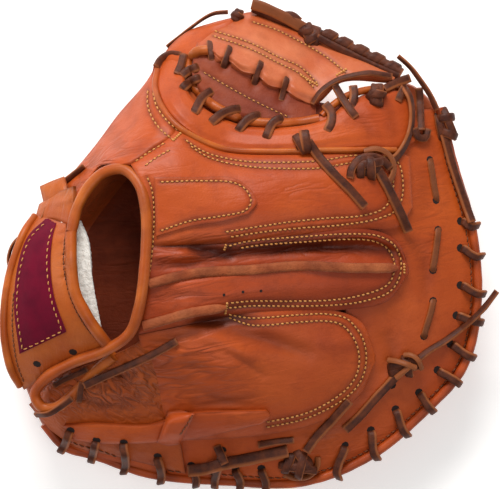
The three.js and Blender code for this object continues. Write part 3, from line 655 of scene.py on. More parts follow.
# Woven damask patch: warp and weft 0.6 mm apart that shine a little
def patchMaterial():
    material, tree, shader = newMaterial("wovenDamaskPatch", {
        "Roughness": 0.9, "Specular IOR Level": 0.1, "Sheen Weight": 0.05})
    at = addNode(tree, "TexCoord", output="Object")
    threads = {"Vector": at, "Scale": 0.314 / (0.6 * mm), "Distortion": 0.6, "Detail": 1.0}
    warp, weft = (addNode(tree, "TexWave", threads, "Fac", bands_direction=axis) for axis in "XY")
    both = addNode(tree, "Math", (warp, weft), operation="MULTIPLY")
    cloud = addNode(tree, "TexNoise", {"Vector": at, "Scale": 1 / (9 * mm), "Detail": 3.0})
    colour = addNode(tree, "Mix", {0: both, 6: linear("#60041F"), 7: linear("#800B30")}, 2, data_type="RGBA")
    colour = colourLayers(tree, colour, [(cloud, 0.4, 0.7, 0.5, "#4A061E")])
    tree.links.new(colour, shader.inputs["Base Color"])
    tree.links.new(addNode(tree, "Bump", {"Height": both, "Strength": 0.5, "Distance": 0.2 * mm}),
                   shader.inputs["Normal"])
    return material


damask = patchMaterial()
print("materials made")


# The leather panels of the back, sewn edge to edge

backSpecs = {
    "thumbBack": {
        "nodes": ["thumb_back"], "group": "thumb", "crown": 3.0,
        "far": [(46, 205), (70, 176), (95, 147), (120, 114), (144, 85), (156, 66)],
        "near": [(67, 214), (84, 188), (101, 166), (130, 164), (153, 150), (176, 132), (161, 106), (155, 84),
                 (158, 64)],
    },
    "indexStall": {
        "nodes": ["index_stall"], "group": "index", "crown": 3.5,
        "far": [(132, 164), (154, 147), (177, 130), (224, 150), (300, 154), (398, 152), (409, 157)],
        "near": [(149, 246), (222, 243), (300, 234), (365, 228), (398, 226), (412, 208)],
        "start": [(132, 164), (143, 184), (148, 210), (149, 246)],
    },
    "middleStall": {
        "nodes": ["middle_stall"], "group": "middle", "crown": 3.5,
        "far": [(149, 248), (222, 245), (300, 236), (365, 230), (396, 241), (408, 266)],
        "near": [(140, 333), (195, 322), (250, 312), (340, 309), (388, 300), (408, 274)],
        "start": [(149, 248), (148, 292), (140, 333)],
        "folds": [(0, 0.2), (0.1, 0.3), (0.2, -0.7), (0.34, -0.4), (0.48, 0.7), (0.68, 1), (0.9, 0.5), (1, 0)],
    },
    "littleStall": {
        "nodes": ["little_stall"], "group": "little", "crown": 4.0,
        "far": [(140, 336), (200, 324), (250, 314), (330, 311), (362, 323), (375, 354)],
        "near": [(161, 440), (215, 438), (262, 434), (320, 421), (360, 394), (375, 362)],
    },
    "heelSide": {
        "nodes": ["heel_side"], "crown": 2.5, "level": -0.7,
        "far": [(30, 404), (60, 376), (100, 362), (130, 349), (160, 332)],
        "near": [(50, 430), (74, 446), (112, 455), (184, 472)],
    },
    "rimBack": {
        "nodes": ["rim_back"], "crown": 1.5, "level": -3.6, "step": 2.0,
        "far": [(168, 425), (240, 415), (290, 398), (328, 372), (340, 345), (346, 318), (350, 292), (362, 270),
                (368, 236), (384, 206), (388, 165), (402, 112)],
        "near": [(168, 476), (240, 479), (303, 479), (367, 454), (423, 407), (459, 366), (473, 307), (469, 235),
                 (450, 167), (434, 110)],
        "folds": [(0, -0.4), (0.35, 0.2), (0.65, 1), (0.88, 0.8), (1, 0)],
    },
    "crotchRoll": {
        "nodes": ["crotch_roll", "index_tip"], "crown": 3.5, "inset": -0.4,
        "far": [(187, 54), (184, 72), (188, 92), (208, 111), (246, 126), (300, 126), (328, 118), (346, 104),
                (380, 92), (410, 92)],
        "near": [(160, 62), (157, 83), (163, 105), (182, 128), (224, 149), (300, 152), (330, 151), (365, 149),
                 (398, 149), (420, 138)],
    },
}
back = {}
for name, spec in backSpecs.items():
    hide = {"middleStall": stallHide, "heelSide": heelHide}.get(name, steerhide)
    back[name] = panel(name, {**spec, "height": backHeight}, hide, "leather", *spec["nodes"])
print("back panels made:", len(back))

web = {
    "webBase": {
        "group": "webBase", "crown": 1.2, "step": 1.2, "inset": 0,
        "far": [(194, 52, 60), (212, 50, 60), (246, 66, 59), (290, 84, 57.5), (316, 97, 57.5)],
        "near": [(192, 74, 64), (203, 96, 67), (226, 112, 70), (268, 122.5, 69.5), (316, 119, 65)],
    },
    "webPanel": {
        "group": "webPanel", "crown": 2.5, "wall": 3.0, "inset": 0, "step": 1.2,
        "edgeDrop": 2.6, "edgeWidth": 6.5, "edgeRound": 1.2,
        "far": [(198, 38, 44), (224, 23, 38), (250, 12, 35), (286, 22, 36), (322, 35, 38), (372, 59, 42),
                (398, 70, 45)],
        "near": [(196, 46, 62), (206, 53, 64), (213, 54, 65), (221, 61, 66), (229, 61, 66), (242, 71, 66.5),
                 (257, 75, 66.5), (269, 85, 66.5), (284, 89, 66), (298, 98, 66), (314, 103, 64), (340, 80, 58),
                 (394, 80, 52)],
    },
}
webBase = panel("webBase", web["webBase"], redHide, "dark_leather", "web_base")
webPanel = panel("webPanel", web["webPanel"], webGlareHide, "leather", "web_panel")

panel("webBinding", {
    "far": [(160, 61, 46), (172, 45.5, 44), (189, 32, 42), (212, 23.5, 40), (236, 17, 38)],
    "near": [(170, 70, 50), (186, 62, 55), (200, 51, 55), (216, 36, 43), (236, 25, 40)],
    "crown": 1.6, "step": 1.2, "edgeDrop": 1.5, "edgeWidth": 3}, steerhide, "leather")
# a dark piece under the web's corner: partly the web base's leather, partly painted shade where the gap between the
# pieces lies in shadow
webShadeGusset = panel("webShadeGusset", {
    "far": [(296, 88, 57), (314, 101, 55), (330, 104, 53), (344, 97, 51)],
    "near": [(298, 120, 62), (318, 128, 62), (336, 124, 59), (352, 108, 56)], "crown": 0.5, "step": 1.5,
}, redHide, "dark_leather")

for i, (far, near) in enumerate([   # tapes under the seams where three panels meet
    ([(150, 146), (174, 124), (196, 124)], [(150, 172), (178, 154), (206, 154)]),
    ([(318, 118), (332, 114), (346, 112)], [(318, 156), (334, 158), (350, 156)]),
    ([(66, 438), (110, 446), (168, 458)], [(62, 448), (104, 458), (164, 474)]),
]):
    panel("seamTape%d" % (i + 1), {"far": far, "near": near, "crown": 0, "level": -1.5, "wall": 1.6,
                                   "height": backHeight, "step": 2.5}, steerhide, "leather")
gather = panel("strapGather", {
    "far": [(40, 204, 57), (56, 194, 66), (72, 188, 77)], "near": [(36, 220, 60), (54, 219, 72), (72, 226, 86)],
    "crown": 1.5, "step": 1.2}, strapHide, "leather")
panel("wristTab", {
    "far": [(41, 187, 56), (52, 182, 60), (63, 178, 63)], "near": [(45, 204, 60), (56, 198, 66), (68, 196, 72)],
    "crown": 1.2, "wall": 2.0, "step": 1.2}, strapHide, "leather")

# The padded palm: rings from the middle of its top out to the rim, down and in to the pocket
palm = {
    "centre": (220, 280), "sectors": 150, "cavityFloor": 38, "clearance": 6.9,
    "web": {"px": 262, "py": 90, "wide": 100, "high": 60, "inner": 0.7, "outer": 1.6},
    "wrist": {"px": 40, "py": 290, "wide": 90, "high": 75, "inner": 0.75, "outer": 1.25},
    "outline": [
        (16, 300), (16, 352), (30, 398), (50, 434), (92, 454), (150, 473), (222, 480), (303, 481), (368, 455),
        (425, 408), (461, 366), (475, 308), (471, 234), (452, 166), (436, 108), (404, 82), (352, 100),
        (318, 120), (262, 122), (208, 104), (188, 70), (170, 62), (146, 86), (112, 130), (78, 172), (40, 228)],
    "pocket": [   # share of the way out, height at the rim and under the web
        (1, 21, 40), (0.995, 14, 36), (0.985, 9, 32), (0.97, 5, 30), (0.95, 2.5, 29), (0.93, 1, 28.5), (0.9, 0, 28),
        (0.855, 0, 28), (0.81, 0, 28), (0.76, 2.6, 28), (0.7, 7, 28), (0.6, 14, 27.5), (0.5, 19, 27),
        (0.4, 22.5, 27), (0.25, 25, 27), (0.08, 26, 26)],
}


def outside(region, px, py):
    away = np.hypot((px - region["px"]) / region["wide"], (py - region["py"]) / region["high"])
    return smoothStep(away, region["inner"], region["outer"])


def palmPoints():
    outline = smoothLine(palm["outline"], palm["sectors"] + 1, closed=True)[:-1]
    cx, cy = palm["centre"]
    rings = []

    def ring(share, heightAt):
        px, py = cx + (outline[:, 0] - cx) * share, cy + (outline[:, 1] - cy) * share
        rings.append(place(px, py, heightAt(px, py)))

    def top(share):
        def height(px, py):
            fill = smoothStep(share, 0.74, 0.92) * outside(palm["wrist"], px, py)
            drop = 1.8 * smoothStep(share, 0.86, 0.94)
            return np.minimum(backHeight(px, py) - palm["clearance"] - drop, palm["cavityFloor"] + 40 * fill)
        return height

    for share in (0.08, 0.15, 0.28, 0.4, 0.51, 0.62, 0.69, 0.76, 0.81, 0.86, 0.9, 0.94, 0.965, 0.985, 0.995):
        ring(share, top(share))
    topCount = len(rings)
    for share, rim, under in palm["pocket"]:
        ring(share, lambda px, py: under + (rim - under) * outside(palm["web"], px, py))
    return np.array(rings), topCount


def palmObject():
    rings, topCount = palmPoints()
    rows, count = rings.shape[:2]
    faces = ringFaces(rows, count)
    points = rings.reshape(-1, 3)
    middles = np.array([rings[0].mean(0), rings[-1].mean(0)])
    points = np.concatenate([points, middles])
    last = (rows - 1) * count
    for j in range(count):
        k = (j + 1) % count
        faces.append([rows * count, k, j])
        faces.append([rows * count + 1, last + j, last + k])
    obj = meshObject("palmPad", points, faces)
    selectOnly(obj)
    bpy.ops.object.mode_set(mode="EDIT")
    bpy.ops.mesh.select_all(action="SELECT")
    bpy.ops.mesh.normals_make_consistent(inside=False)
    bpy.ops.object.mode_set(mode="OBJECT")
    setAttribute(obj, "dark", np.clip(0.2 * roughNoise(points, 40, 5.0), 0, 1))
    setAttribute(obj, "wrinkle", np.clip(0.3 + 0.4 * roughNoise(points, 55, 8.0), 0, 1))
    smoothShade(obj, 60)
    finish(obj, palmHide, "leather", "palm_pad")
    obj.data.materials.append(liningShadeHide)
    # the inside of the hollow takes the lining hide, whose dark colour is painted shade
    inner = (topCount - 7) * count
    for face in obj.data.polygons:
        if max(face.vertices) < inner or min(face.vertices) == rows * count:
            face.material_index = 1
    return obj


palmPad = palmObject()
print("palm made")


# Rolls, piping, cord and welts

def laidRoute(tree, places, lift, count):   # a line laid on what the view meets, in metres
    line = smoothLine([p[:2] for p in places], count)
    kernel = (1, 2, 3, 2, 1)
    z = heightOn(tree, line[:, 0], line[:, 1])
    z = smoothed(np.maximum(z, smoothed(z, kernel)), kernel)
    return place(line[:, 0], line[:, 1], z + lift)


def roll(name, path, section, material, slot, *nodes, swell=None):
    obj = sweep(name, path, [(0, 0, 1)] * len(path), section, swell=swell)
    points = np.array([v.co for v in obj.data.vertices])
    setAttribute(obj, "dark", np.clip(0.25 + 0.5 * roughNoise(points, 9, 2.0), 0, 0.6))
    smoothShade(obj, 60)
    return finish(obj, material, slot, *nodes)


def wrinkled(count, size, amount, seed):   # a roll's thickness along its length, drawn in and full by turns
    return np.array([1 + amount * noise.noise(Vector((i / size, seed, 0))) for i in range(count)])


bindingRolls = {   # with the points along and round each, and how it wrinkles: size, amount and seed
    "openingRoll": {"node": "opening_roll", "radius": 3.2, "points": 180, "sides": 18, "wrinkles": (7, 0.08, 1.0),
        "line": [
        (71.5, 231.5, 90.5), (78, 206, 89.5), (91, 184, 89.5), (106, 171.5, 90.5), (124, 169.5, 93.5),
        (139, 184, 98.5), (146, 214, 103), (145, 262, 105), (139, 308, 102), (129, 334, 96), (106, 350, 88),
        (72, 363, 78), (46, 378, 68.5), (35, 394, 61), (42, 407, 59), (57, 407, 61), (75, 392, 64), (93, 373, 71),
        (114, 356, 82)]},
    "strapRoll": {"node": "strap_roll", "radius": 3.4, "points": 60, "sides": 18, "wrinkles": (7, 0.06, 4.0),
        "line": [
        (71, 232.6, 90.8), (71, 250, 93.5), (71.5, 268, 96.5), (75, 292, 98), (88, 318, 96.5), (99, 334, 92),
        (107, 344.5, 87.5)]},
    "strapBinding": {"node": "strap_binding", "radius": 2.2, "points": 90, "sides": 14, "wrinkles": (5, 0.08, 6.0),
        "line": [
        (35, 216, 60), (23, 234, 69), (8, 280, 73), (3.5, 330, 70), (10.5, 369, 61), (20, 386, 54)]},
}
wound = {}
for name, spec in bindingRolls.items():
    section = oval(spec["radius"], spec["radius"], spec["sides"])
    wound[name] = roll(name, place(*smoothLine(spec["line"], spec["points"]).T), section, bindingHide, "leather",
                       spec["node"], swell=wrinkled(spec["points"], *spec["wrinkles"]))
openingRoll = wound["openingRoll"]

crotch = {   # the light piping and cords round the crotch roll: half widths, height over the leather and route
    "piping": {"half": 1.8, "over": 0.9, "line": [
        (157, 70), (155, 88), (162, 107), (180, 128), (222, 148), (262, 151), (330, 150), (396, 150)]},
    "tip": {"half": 2.2, "over": 1.4, "line": [
        (322, 116), (332, 106), (345, 97), (362, 91), (384, 88.5), (398, 90)]},
    "cord": {"half": 2.9, "high": 2.7, "over": 1.7, "line": [
        (207, 50), (197, 51.5), (190, 60), (189.5, 76.2), (204.5, 98.6), (235.6, 116.9), (266, 123), (300, 122),
        (319, 118.9)]},
}
backTree = treeOf(list(back.values()) + [webBase, webPanel, palmPad])
px, py = smoothLine(crotch["piping"]["line"], 150).T
crotchPiping = roll("crotchPiping", place(px, py, backHeight(px, py) + crotch["piping"]["over"]),
                    oval(crotch["piping"]["half"], crotch["piping"]["half"], 12), bindingHide, "light_cord",
                    "crotch_piping")
tipCord = roll("tipCord", laidRoute(backTree, crotch["tip"]["line"], crotch["tip"]["over"], 60),
               oval(crotch["tip"]["half"], crotch["tip"]["half"], 14), bindingHide, "light_cord")
crotchCord = roll("crotchCord", laidRoute(backTree, crotch["cord"]["line"], crotch["cord"]["over"], 120),
                  oval(crotch["cord"]["half"], crotch["cord"]["high"], 16), bindingHide, "light_cord", "crotch_cord",
                  swell=wrinkled(120, 6, 0.05, 8.0))
welt = {"below": 1.4, "radius": 2.7, "line": [
    (44, 424, 41), (64, 446, 38), (96, 456, 36), (150, 474, 34), (222, 481, 34), (303, 482, 35), (370, 456, 36.5),
    (426, 410, 37), (463, 367, 38), (477, 308, 39), (473, 234, 39.5), (454, 166, 41), (439, 108, 44)]}
weltLine = smoothLine(welt["line"], 320)
rimWelt = roll("rimWelt", place(weltLine[:, 0], weltLine[:, 1], weltLine[:, 2] - welt["below"]),
               oval(welt["radius"], welt["radius"] * 1.05, 14), steerhide, "welt", "rim_welt",
               swell=wrinkled(320, 5, 0.08, 11.0))
ridges = {
    "ridgeUpper": {"node": "ridge_upper", "line": [
        (149, 284), (180, 276), (206, 272), (250, 270), (300, 266), (350, 268), (398, 268)]},
    "ridgeLower": {"node": "ridge_lower", "line": [(143, 326), (165, 320), (190, 313), (226, 307.5)]},
}
ridgeSection = [(-2.9, -1.6), (-2.8, 0.6), (-2.3, 1.5), (-1.2, 1.8), (0, 1.9), (1.2, 1.8), (2.3, 1.5), (2.8, 0.6),
                (2.9, -1.6), (2.0, -2.0), (0, -2.2), (-2.0, -2.0)]
for name, spec in ridges.items():
    count = int(lengthOf(np.array(spec["line"], float)) / 1.6)
    taper = np.clip(np.linspace(count * 0.12, 0.4, count), 0, 1)
    back[name] = roll(name, laidRoute(backTree, spec["line"], 1.2, count), ridgeSection, splitHide, "welt",
                      spec["node"], swell=taper * wrinkled(count, 3, 0.07, 14.0))
print("rolls and welts made")


# The wrist: strap, its fleece and its bare patch

strapSpec = {
    "far": [(37, 214, 59), (24.5, 235, 68.5), (9, 280, 72.5), (5, 330, 69.5), (12, 368, 60.5), (24, 390, 53.5)],
    "near": [(66, 224, 85), (66, 246, 92.5), (69, 289, 97), (84, 321, 95), (104, 348, 86)],
    "end": [(24, 390, 53.5), (45, 377, 65), (72, 362, 75), (104, 348, 86)],
    "crown": 2.0, "wall": 4.0, "inset": 0.0, "edgeRound": 1.2,
}
wristStrap = panel("wristStrap", strapSpec, strapHide, "leather", "wrist_strap")
fleeceSpec = {
    "far": [(46, 224, 74), (46, 285, 84.5), (58, 324, 83)],
    "near": [(79, 220, 83), (88, 241, 85.5), (92.5, 280, 88), (101, 327, 85)],
    "crown": 0.5, "wall": 3.0, "inset": 0.0, "step": 0.8, "edgeRound": 0,
}
strapFleece = panel("strapFleece", fleeceSpec, fleece, "fleece", "strap_fleece")
pile = {"size": 1.3, "high": 0.45}
co = np.array([v.co for v in strapFleece.data.vertices])
normals = np.array([v.normal for v in strapFleece.data.vertices])
co += normals * (pile["high"] * mm * roughNoise(co, pile["size"], 5.0))[:, None]
strapFleece.data.vertices.foreach_set("co", co.astype(np.float32).ravel())
strapFleece.data.update()


def laidPanel(name, spec, under, material, slot, *nodes):   # a panel that lies on others
    tree = treeOf(under)
    wall = spec.get("wall", 2.0)
    spec = {"crown": 0.0, "inset": 0.0, "edgeDrop": 0.4, **spec}
    lift = sewnGap * 0.5 + wall
    return panel(name, {**spec, "height": lambda px, py: heightOn(tree, px, py, blur=3) + lift},
                 material, slot, *nodes)


strapLabel = laidPanel("strapLabel", {
    "far": [(45, 219), (28, 236), (18, 264), (14, 306), (19.5, 354)],
    "near": [(58, 217), (52, 238), (50, 264), (54, 298), (66, 332)], "wall": 1.2, "step": 1.2, "edgeRound": 0.3,
}, [wristStrap], damask, "label", "strap_label")
backPieces = [gather] + [back[name] for name in backSpecs]
fingerTab = laidPanel("fingerTab", {
    "far": [(154, 177), (196, 177), (234, 178), (251, 189)], "near": [(156, 236), (190, 226), (222, 221), (248, 214)],
    "end": [(251, 189), (257, 202), (248, 214)], "wall": 2.0, "group": "fingerTab", "step": 1.2,
}, backPieces, steerhide, "leather", "finger_tab")
littleFingerStrap = laidPanel("littleFingerStrap", {
    "far": [(64, 426), (95, 424), (148, 425), (190, 414), (266, 411)],
    "near": [(74, 440), (100, 444), (150, 443), (190, 440), (262, 424)], "end": [(266, 411), (271, 416), (262, 424)],
    "wall": 2.4, "level": 1.2, "crown": 1.0,
}, backPieces, steerhide, "leather", "little_finger_strap")
strapKeeper = laidPanel("strapKeeper", {
    "far": [(168, 412), (182, 411), (195, 414)], "near": [(157, 443), (168, 446), (181, 444)],
    "wall": 2.4, "step": 1.2, "level": 1.0, "crown": 3.0, "edgeDrop": 1.2, "edgeWidth": 4,
}, backPieces + [littleFingerStrap], steerhide, "leather", "strap_keeper")
print("wrist and laid pieces made")


def holeMesh(spot, normal, radius):   # a small dark dent, drawn as a low disc
    side = np.cross(normal, (1, 0, 0))
    side /= np.linalg.norm(side)
    other = np.cross(normal, side)
    ring = [spot + normal * 0.05 * mm + (side * math.cos(a) + other * math.sin(a)) * radius
            for a in np.linspace(0, 2 * math.pi, 8, endpoint=False)]
    under = [spot - normal * 0.5 * mm]
    return np.array(ring + under), [list(range(8))[::-1]] + [[k, (k + 1) % 8, 8] for k in range(8)]


# Lacing: flat rawhide, dark on its faces and lighter at its cut edges

def laceObject(name, path, up=None, side=None, wide=5.0, thick=2.0, turns=None, seed=0.0, corner=0.36):
    count = len(path)
    section = np.array(strapSection(wide, thick, thick * corner))
    swell = np.array([1 + 0.07 * noise.noise(Vector((i / 6, seed + 3.3, 0))) for i in range(count)])
    obj = sweep(name, path, up, section, side=side, swell=swell, turns=turns)
    cut = np.tile((section[:, 0] > wide * 0.36).astype(float), (count, 1))
    cut[0] = cut[-1] = 0.7
    setAttribute(obj, "cut", cut.ravel())
    smoothShade(obj, 45)
    obj.data.materials.append(rawhide)
    return obj


def twistedLace(name, line, z, wide, thick, turns, seed):   # turns: how far the lace leans, in degrees
    path = place(line[:, 0], line[:, 1], z)
    angle = np.radians(np.interp(np.linspace(0, 1, len(line)), np.linspace(0, 1, len(turns)), turns))
    return laceObject(name, path, up=[(0, 0, 1)] * len(line), wide=wide, thick=thick, turns=angle, seed=seed), path


def laidLace(name, tree, rows, wide=5.0, thick=2.0, turns=(0, 0), step=1.3, seed=0.0):
    # rows: a place of the view and, as a third value, how far over the leather the lace is there
    rows = [(*r, 0.0)[:3] for r in rows]
    count = max(6, int(lengthOf(np.array(rows, float)[:, :2]) * view["perPixel"] / step))
    line = smoothLine(rows, count)
    direction = np.gradient(line[:, :2], axis=0)
    direction /= np.maximum(np.linalg.norm(direction, axis=1), 1e-9)[:, None]
    across = np.stack([-direction[:, 1], direction[:, 0]], axis=1) * wide * 0.4 / view["perPixel"]
    z = np.max([heightOn(tree, line[:, 0] + s * across[:, 0], line[:, 1] + s * across[:, 1]) for s in (-1, 0, 1)],
               axis=0)
    for _ in range(2):
        z = np.maximum(z * 0.92 + 0.08 * z.mean(), smoothed(z, [1] * 5))
    z = smoothed(z, [1] * 5)
    return twistedLace(name, line, z + thick / 2 + 0.1 + line[:, 2], wide, thick, turns, seed)


def airLace(name, rows, wide=5.0, thick=2.0, turns=(0, 0), step=1.3, seed=0.0):   # a lace at its own heights
    count = max(6, int(lengthOf(np.array(rows, float)) * view["perPixel"] / step))
    line = smoothLine(rows, count)
    return twistedLace(name, line, line[:, 2], wide, thick, turns, seed)


def hugging(rows, wide=4.6, thick=2.0, turns=(0, 0), seed=0.0):   # a lace bent round what it lies on
    px, py = np.array([r[0] for r in rows], float), np.array([r[1] for r in rows], float)
    z = heightOn(leatherTree, px, py) + np.array([r[2] for r in rows]) + thick / 2
    return airLace("hugging", list(zip(px, py, z)), wide, thick, turns, step=0.8, seed=seed)[0]


def joinAs(name, objects):
    selectOnly(*objects)
    bpy.ops.object.join()
    obj = bpy.context.view_layer.objects.active
    obj.name = obj.data.name = name
    return obj


def archBand(middle, turn, reach, rise, wide, aside=0.0, skew=0.0, spread=105, seed=0.0, thick=1.8, corner=0.4):
    # a flat lace bent over a point: turn in degrees, the rest in millimetres
    t = np.radians(np.linspace(-spread, spread, 22))[:, None]
    a = math.radians(turn)
    ahead, across, up = np.array([math.cos(a), math.sin(a), 0]), np.array([-math.sin(a), math.cos(a), 0]), (0, 0, 1)
    path = ahead * np.sin(t) * reach + across * (aside + skew * np.sin(t)) + np.array(up) * np.cos(t) * rise
    out = ahead * np.sin(t) * rise + np.array(up) * np.cos(t) * reach
    return laceObject("band", middle + path * mm, up=out, wide=wide, thick=thick, seed=seed, corner=corner)


knotBands = [   # each band of a tight knot as shares of the knot's size: turn, reach, rise, aside, skew
    {"turn": 0, "reach": 0.95, "rise": 0.80, "aside": 0.32, "skew": 0.15},
    {"turn": 12, "reach": 1.00, "rise": 0.72, "aside": -0.42, "skew": -0.18},
    {"turn": 72, "reach": 0.92, "rise": 1.12, "aside": -0.22, "skew": 0.25},
    {"turn": -48, "reach": 0.86, "rise": 0.98, "aside": 0.38, "skew": 0.12},
    {"turn": 100, "reach": 0.80, "rise": 0.88, "aside": 0.55, "skew": -0.20},
]


def laceKnot(name, at, wide, long, high, turn, laceWide=5.0, bands=(0, 1, 2, 3, 4)):
    # an overhand knot of flat lace pulled tight
    middle = place(*at)
    parts = []
    for i, band in enumerate(knotBands[k] for k in bands):
        a = math.radians(band["turn"])
        half = math.hypot(long * math.cos(a), wide * math.sin(a)) - 0.9
        other = math.hypot(long * math.sin(a), wide * math.cos(a)) - laceWide * 0.35
        parts.append(archBand(middle, turn + band["turn"], half * band["reach"], high * band["rise"], laceWide,
                              aside=other * band["aside"], skew=other * band["skew"], seed=i * 3.1 + at[0]))
    bpy.ops.object.select_all(action="DESELECT")
    bpy.ops.mesh.primitive_uv_sphere_add(segments=20, ring_count=12, radius=1)
    core = bpy.context.object
    a = math.radians(turn)
    spot = np.array([v.co for v in core.data.vertices]) * [long * 0.8 * mm, wide * 0.8 * mm, high * 0.62 * mm]
    spot = np.stack([spot[:, 0] * math.cos(a) - spot[:, 1] * math.sin(a),
                     spot[:, 0] * math.sin(a) + spot[:, 1] * math.cos(a), spot[:, 2]], axis=1)
    core.data.vertices.foreach_set("co", (spot + middle).astype(np.float32).ravel())
    core.data.update()
    setAttribute(core, "cut", np.zeros(len(core.data.vertices)))
    obj = joinAs(name, parts + [core])
    obj.data.materials.clear()
    obj.data.materials.append(rawhide)
    return obj


made = [*back.values(), webBase, webPanel, webShadeGusset, palmPad, crotchCord, tipCord, crotchPiping, rimWelt,
        fingerTab, littleFingerStrap, strapKeeper, wristStrap, openingRoll]
leatherTree = treeOf(made)

# Wraps of the rim's lace: a hole in the leather and the place where it leaves over the rim
rimWraps = [
    {"hole": (96, 442), "edge": (92, 456)}, {"hole": (124, 444), "edge": (126, 466)},
    {"hole": (158, 458), "edge": (162, 478)}, {"hole": (222, 452), "edge": (216, 481)},
    {"hole": (344, 447), "edge": (336, 470)}, {"hole": (371, 432), "edge": (373, 454)},
    {"hole": (396, 411), "edge": (402, 430)}, {"hole": (420, 394), "edge": (429, 407)},
    {"hole": (439, 371), "edge": (454, 381)}, {"hole": (452, 345), "edge": (468, 355)},
    {"hole": (458, 316), "edge": (476, 322)}, {"hole": (462, 286), "edge": (478, 293)},
    {"hole": (462, 249), "edge": (475, 257)}, {"hole": (192, 467), "edge": (196, 480)},
    {"hole": (236, 470), "edge": (240, 482)}, {"hole": (262, 470), "edge": (266, 482)},
    {"hole": (70, 432), "edge": (64, 446)}, {"hole": (462, 222), "edge": (471, 226)},
]
weltTangent = np.gradient(weltLine[:, :2], axis=0)


def wrapPath(hole, edge):
    nearest = np.hypot(weltLine[:, 0] - edge[0], weltLine[:, 1] - edge[1]).argmin()
    on = weltLine[nearest]
    along = weltTangent[nearest] / np.linalg.norm(weltTangent[nearest])
    out = np.array([-along[1], along[0]])
    top = heightOn(leatherTree, np.array([on[0]]), np.array([on[1]]))[0] + 1.3
    inside = heightOn(leatherTree, np.array([float(hole[0])]), np.array([float(hole[1])]))[0]
    reach = (welt["radius"] + 1.6) / view["perPixel"]
    back1 = np.array(hole) - out * 1.5
    rows = [(*back1, inside - 1.6), (*(np.array(hole) + out * 2.2), inside + 1.2),
            ((hole[0] + on[0]) / 2, (hole[1] + on[1]) / 2, max((inside + top) / 2 + 0.8, inside + 1.0)),
            (on[0], on[1], top + 0.3),
            (on[0] + out[0] * reach * 0.72, on[1] + out[1] * reach * 0.72, on[2] + 0.6),
            (on[0] + out[0] * reach, on[1] + out[1] * reach, on[2] - 2.6),
            (on[0] + out[0] * reach * 0.85, on[1] + out[1] * reach * 0.85, on[2] - 7)]
    line = smoothLine(rows, 30)
    direction = np.array([*(np.array(edge, float) - hole), 0])
    side = np.array([direction[1], direction[0], 0])   # level, across the lace in the model's axes
    return place(line[:, 0], line[:, 1], line[:, 2]), side / np.linalg.norm(side)


wraps = []
for i, wrap in enumerate(rimWraps):
    path, side = wrapPath(wrap["hole"], wrap["edge"])
    wraps.append(laceObject("rimWrap%02d" % i, path, side=np.tile(side, (len(path), 1)), wide=4.9, thick=1.9,
                            seed=i * 2.1))
rimLacing = finish(joinAs("rimLacing", wraps), rawhide, "lace", *["rim_lace_%02d" % (i + 1) for i in range(13)])
wrapTree = treeOf(made + [rimLacing])

# Knots, each with its middle a little over the leather
allBands = (0, 1, 2, 3, 4)
knotRows = {
    "knotWeb": {"node": "knot_web", "at": (376, 96), "wide": 5.2, "long": 7.4, "high": 4.2, "turn": 80},
    "knotIndex": {"node": "knot_index", "at": (368, 167), "wide": 7.2, "long": 9.6, "high": 3.8, "turn": 4,
                  "bands": (0, 2, 4)},
    "knotRight": {"node": "knot_right", "at": (404, 366), "wide": 6.2, "long": 10.4, "high": 4.0, "turn": 10,
                  "bands": (0, 1, 2)},
    "knotBottom": {"node": "knot_bottom", "at": (298, 463), "wide": 8.4, "long": 11.6, "high": 4.4, "turn": -14,
                   "bands": (1, 2, 3, 4)},
    "knotTop": {"node": "knot_top", "at": (312, 36), "wide": 6.2, "long": 8.6, "high": 4.4, "turn": -60},
}
knots = []
for name, row in knotRows.items():
    px, py = row["at"]
    z = heightOn(leatherTree, np.array([px - 4.0, px + 4.0, px]), np.array([float(py)] * 3)).max() + 1.0
    knot = laceKnot(name, (px, py, z), row["wide"], row["long"], row["high"], row["turn"],
                    bands=row.get("bands", allBands))
    knots.append(finish(knot, rawhide, "lace", row["node"]))
finish(laceKnot("knotFar", (237, 16, 37), 3.8, 4.4, 3.4, 60, laceWide=3.4), rawhide, "lace")
knotTree = treeOf(made + [rimLacing] + knots)


# Free ends of the lacing

def freeEnd(lace, wide, *nodes):   # a loose end: its object and its path
    obj, path = lace
    finish(obj, rawhide, "lace", *nodes)


def pastRim(name, rows, tip, rimAt, wide):   # lies on the leather as far as the rim and then stands out over it
    line = smoothLine([r[:2] for r in rows] + [tip], 64)
    z = heightOn(wrapTree, line[:, 0], line[:, 1]) + 1.8
    past = line[:, 0] >= rimAt
    z[past] = z[~past][-1] + np.linspace(0, 1.5, past.sum())
    return twistedLace(name, line, smoothed(z, [1] * 9), wide, 2.0, (35, 50), 4.0)


tailRows = {
    "tailIndexRight": {"node": "tail_index_right", "wide": 5.6, "turns": (8, 0, -4), "line": [
        (378, 170, 0.4), (386, 184, 0.2), (395, 202), (403, 219), (408.5, 232)]},
    "tailIndexLeft": {"node": "tail_index_left", "wide": 5.4, "turns": (-10, 0, 0), "line": [
        (308, 141, 0.6), (319, 157), (333, 173), (350, 190), (365, 207)]},
    "tailRight": {"node": "tail_right", "wide": 4.4, "tip": (497, 291), "rimAt": 474, "line": [
        (417, 360), (430, 350), (445, 341), (461, 329), (475, 317), (484, 308)]},
    "tailLittle": {"node": "tail_little", "wide": 5.2, "turns": (12, 0, 5), "line": [
        (399, 373, 0.6), (388, 385, 0.2), (374, 400), (360, 416), (345, 430)]},
    "tailBottom": {"node": "tail_bottom", "wide": 5.2, "turns": (0, 8, 0), "line": [
        (306, 452, 0.4), (316, 438, 0.2), (331, 422), (350, 401)]},
    "tailWrist": {"node": "tail_wrist", "wide": 4.6, "turns": (0, 15, 10), "line": [
        (84, 386), (100, 378.5), (124, 368), (150, 356), (177, 341)]},
}
